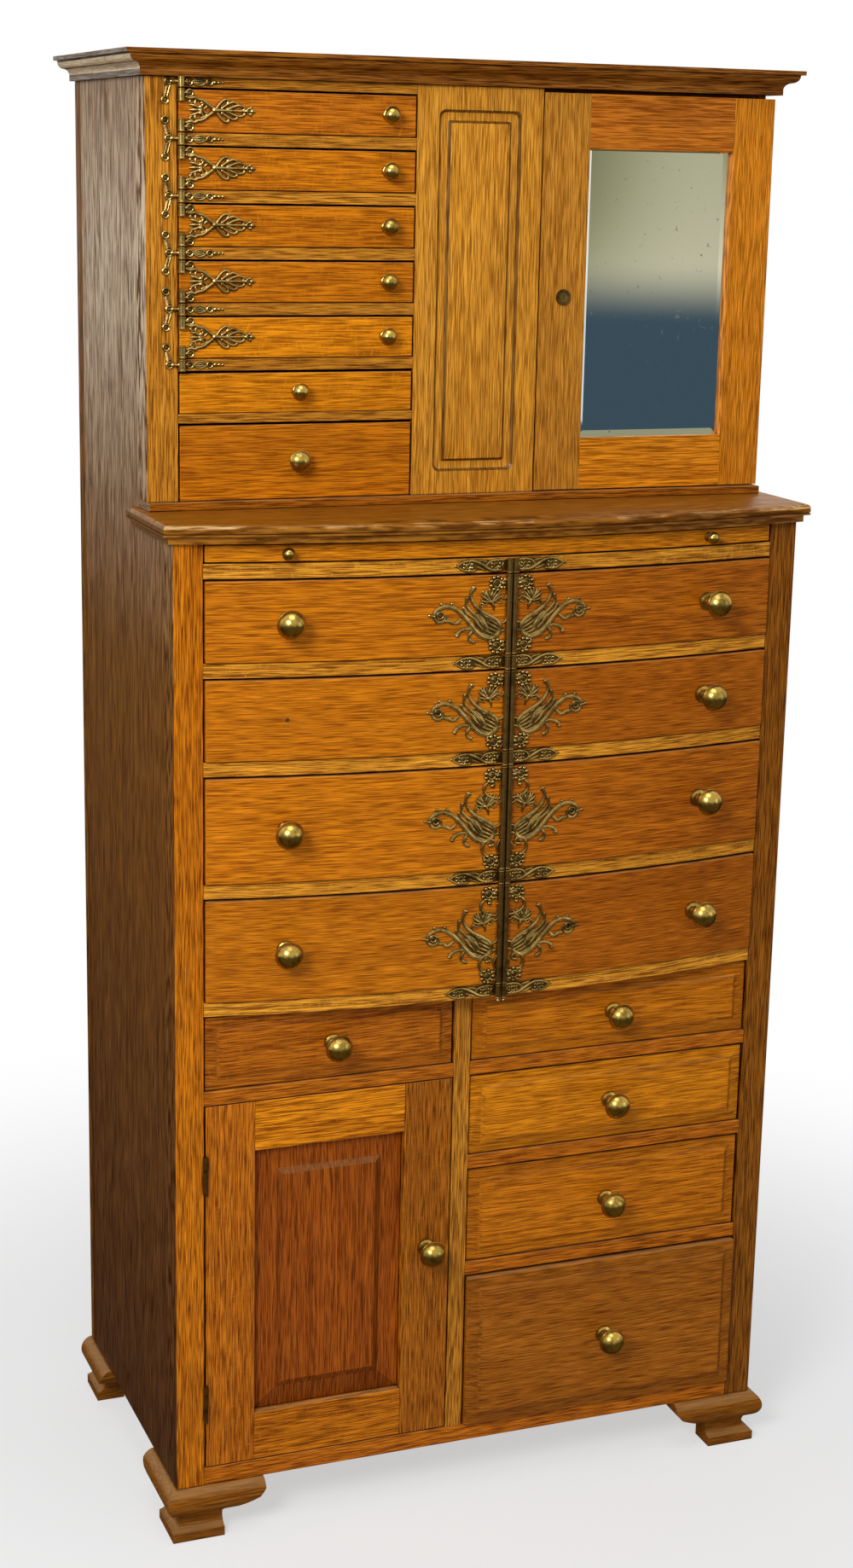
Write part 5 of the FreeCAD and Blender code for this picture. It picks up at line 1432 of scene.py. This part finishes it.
def make_world():
    """White behind the cabinet; in front of it soft tones of a room, for what brass and mirror show."""
    world = bpy.data.worlds.new("studio")
    bpy.context.scene.world = world
    world.use_nodes = True
    tree = world.node_tree
    tree.nodes.clear()
    path = add(tree, "LightPath").node.outputs
    way = add(tree, "TexCoord", out="Generated")
    y, z = add(tree, "SeparateXYZ", Vector=way).node.outputs[1:]
    shapes = add(tree, "TexNoise", Vector=way, Scale=4.0, Detail=1.0)
    room = add(tree, "ValToRGB", stops=ROOM_TONES, Fac=shapes)
    near = add(tree, "MapRange", Value=z, From_Min=-0.3, From_Max=-0.1)
    under = add(tree, "Mix", BLENDED, Factor=near, A=ROOM_FLOOR, B=ROOM_SKIRTING)
    wall = add(tree, "MapRange", SMOOTH, Value=z, From_Min=-0.06, From_Max=-0.035)
    room = add(tree, "Mix", BLENDED, Factor=wall, A=under, B=room)
    ceiling = add(tree, "MapRange", SMOOTH, Value=z, From_Min=0.1, From_Max=0.24)
    room = add(tree, "Mix", BLENDED, Factor=ceiling, A=room, B=ROOM_CEILING)
    rising = add(tree, "MapRange", SMOOTH, Value=z, From_Min=-0.16, From_Max=0.04)
    back = add(tree, "Mix", BLENDED, Factor=rising, A=BACK_LOW, B=BACK_HIGH)
    behind = add(tree, "MapRange", SMOOTH, Value=y, From_Min=-0.3, From_Max=0.2)
    graded = add(tree, "Mix", BLENDED, Factor=behind, A=room, B=back)
    soft = add(tree, "Background", Color=grey(1.0), Strength=0.24)
    shine = add(tree, "Background", Color=graded, Strength=1.0)
    white = add(tree, "Background", Color=grey(1.0), Strength=1.0)
    lit = add(tree, "MixShader", _0=path["Is Glossy Ray"], _1=soft, _2=shine)
    clear = add(tree, "Math", "MAXIMUM", _0=path["Is Camera Ray"], _1=path["Is Transmission Ray"])
    whole = add(tree, "MixShader", _0=clear, _1=lit, _2=white)
    add(tree, "OutputWorld", Surface=whole)


# Each lamp's name, place, width and power, and the place that they all point to
LAMPS = (("key", (-2.0, -2.2, 2.4), 1.2, 70.0), ("top", (-0.4, -1.3, 3.8), 2.0, 24.0),
         ("fill", (2.8, -2.4, 1.4), 1.6, 5.0))
LAMP_AIM = Vector((0.0, 0.0, 0.85))


def make_lamps():
    """Soft boxes: a large one at the front left, one overhead and a weak one at the right."""
    for name, place, size, power in LAMPS:
        lamp = bpy.data.lights.new(name, "AREA")
        lamp.shape = "DISK"
        lamp.size = size
        lamp.energy = power
        holder = bpy.data.objects.new(name, lamp)
        holder.location = place
        holder.rotation_euler = (LAMP_AIM - Vector(place)).to_track_quat("-Z", "Y").to_euler()
        bpy.context.scene.collection.objects.link(holder)


def make_camera():
    """The camera at the photograph's place and angle, for a frame of 1000 by 1838."""
    sizes = cabinet_sizes()
    camera = bpy.data.cameras.new("camera")
    camera.sensor_fit = "VERTICAL"
    camera.angle_y = sizes.camera_height_angle
    camera.clip_start = 0.05
    camera.clip_end = 100.0
    holder = bpy.data.objects.new("camera", camera)
    turn = (Matrix.Rotation(sizes.camera_yaw, 4, "Z")
            @ Matrix.Rotation(math.pi / 2 - sizes.camera_pitch, 4, "X")
            @ Matrix.Rotation(sizes.camera_roll, 4, "Z"))
    holder.matrix_world = Matrix.Translation(Vector(face_low) + Vector(sizes.camera_distance)) @ turn
    bpy.context.scene.collection.objects.link(holder)
    bpy.context.scene.camera = holder


class CABINET_PT_panel(bpy.types.Panel):
    """The cabinet's sizes, colours and operators"""

    bl_label = "Cabinet"
    bl_idname = "CABINET_PT_panel"
    bl_space_type = "VIEW_3D"
    bl_region_type = "UI"
    bl_category = "Cabinet"

    def draw(self, context):
        for settings in (context.scene.cabinet_sizes, context.scene.cabinet_colours):
            for name in settings.__annotations__:
                self.layout.prop(settings, name)
        for operator in OPERATORS:
            self.layout.operator(operator.bl_idname)


OPERATORS = (CABINET_OT_case, CABINET_OT_drawers, CABINET_OT_trays, CABINET_OT_doors, CABINET_OT_bow_hinges,
             CABINET_OT_upper_hinges, CABINET_OT_door_hinges, CABINET_OT_knobs, CABINET_OT_stage)
CLASSES = (CabinetSizes, CabinetColours) + OPERATORS + (CABINET_PT_panel,)


def register():
    """Registers the classes and the scene's settings."""
    for each in CLASSES:
        bpy.utils.register_class(each)
    bpy.types.Scene.cabinet_sizes = bpy.props.PointerProperty(type=CabinetSizes)
    bpy.types.Scene.cabinet_colours = bpy.props.PointerProperty(type=CabinetColours)


def unregister():
    """Takes the settings and the classes away again."""
    del bpy.types.Scene.cabinet_colours
    del bpy.types.Scene.cabinet_sizes
    for each in reversed(CLASSES):
        bpy.utils.unregister_class(each)


def main():
    """Builds every piece in order."""
    register()
    bpy.ops.cabinet.case()
    bpy.ops.cabinet.drawers()
    bpy.ops.cabinet.trays()
    bpy.ops.cabinet.doors()
    bpy.ops.cabinet.bow_hinges()
    bpy.ops.cabinet.upper_hinges()
    bpy.ops.cabinet.door_hinges()
    bpy.ops.cabinet.knobs()
    bpy.ops.cabinet.stage()


if __name__ == "__main__":
    main()
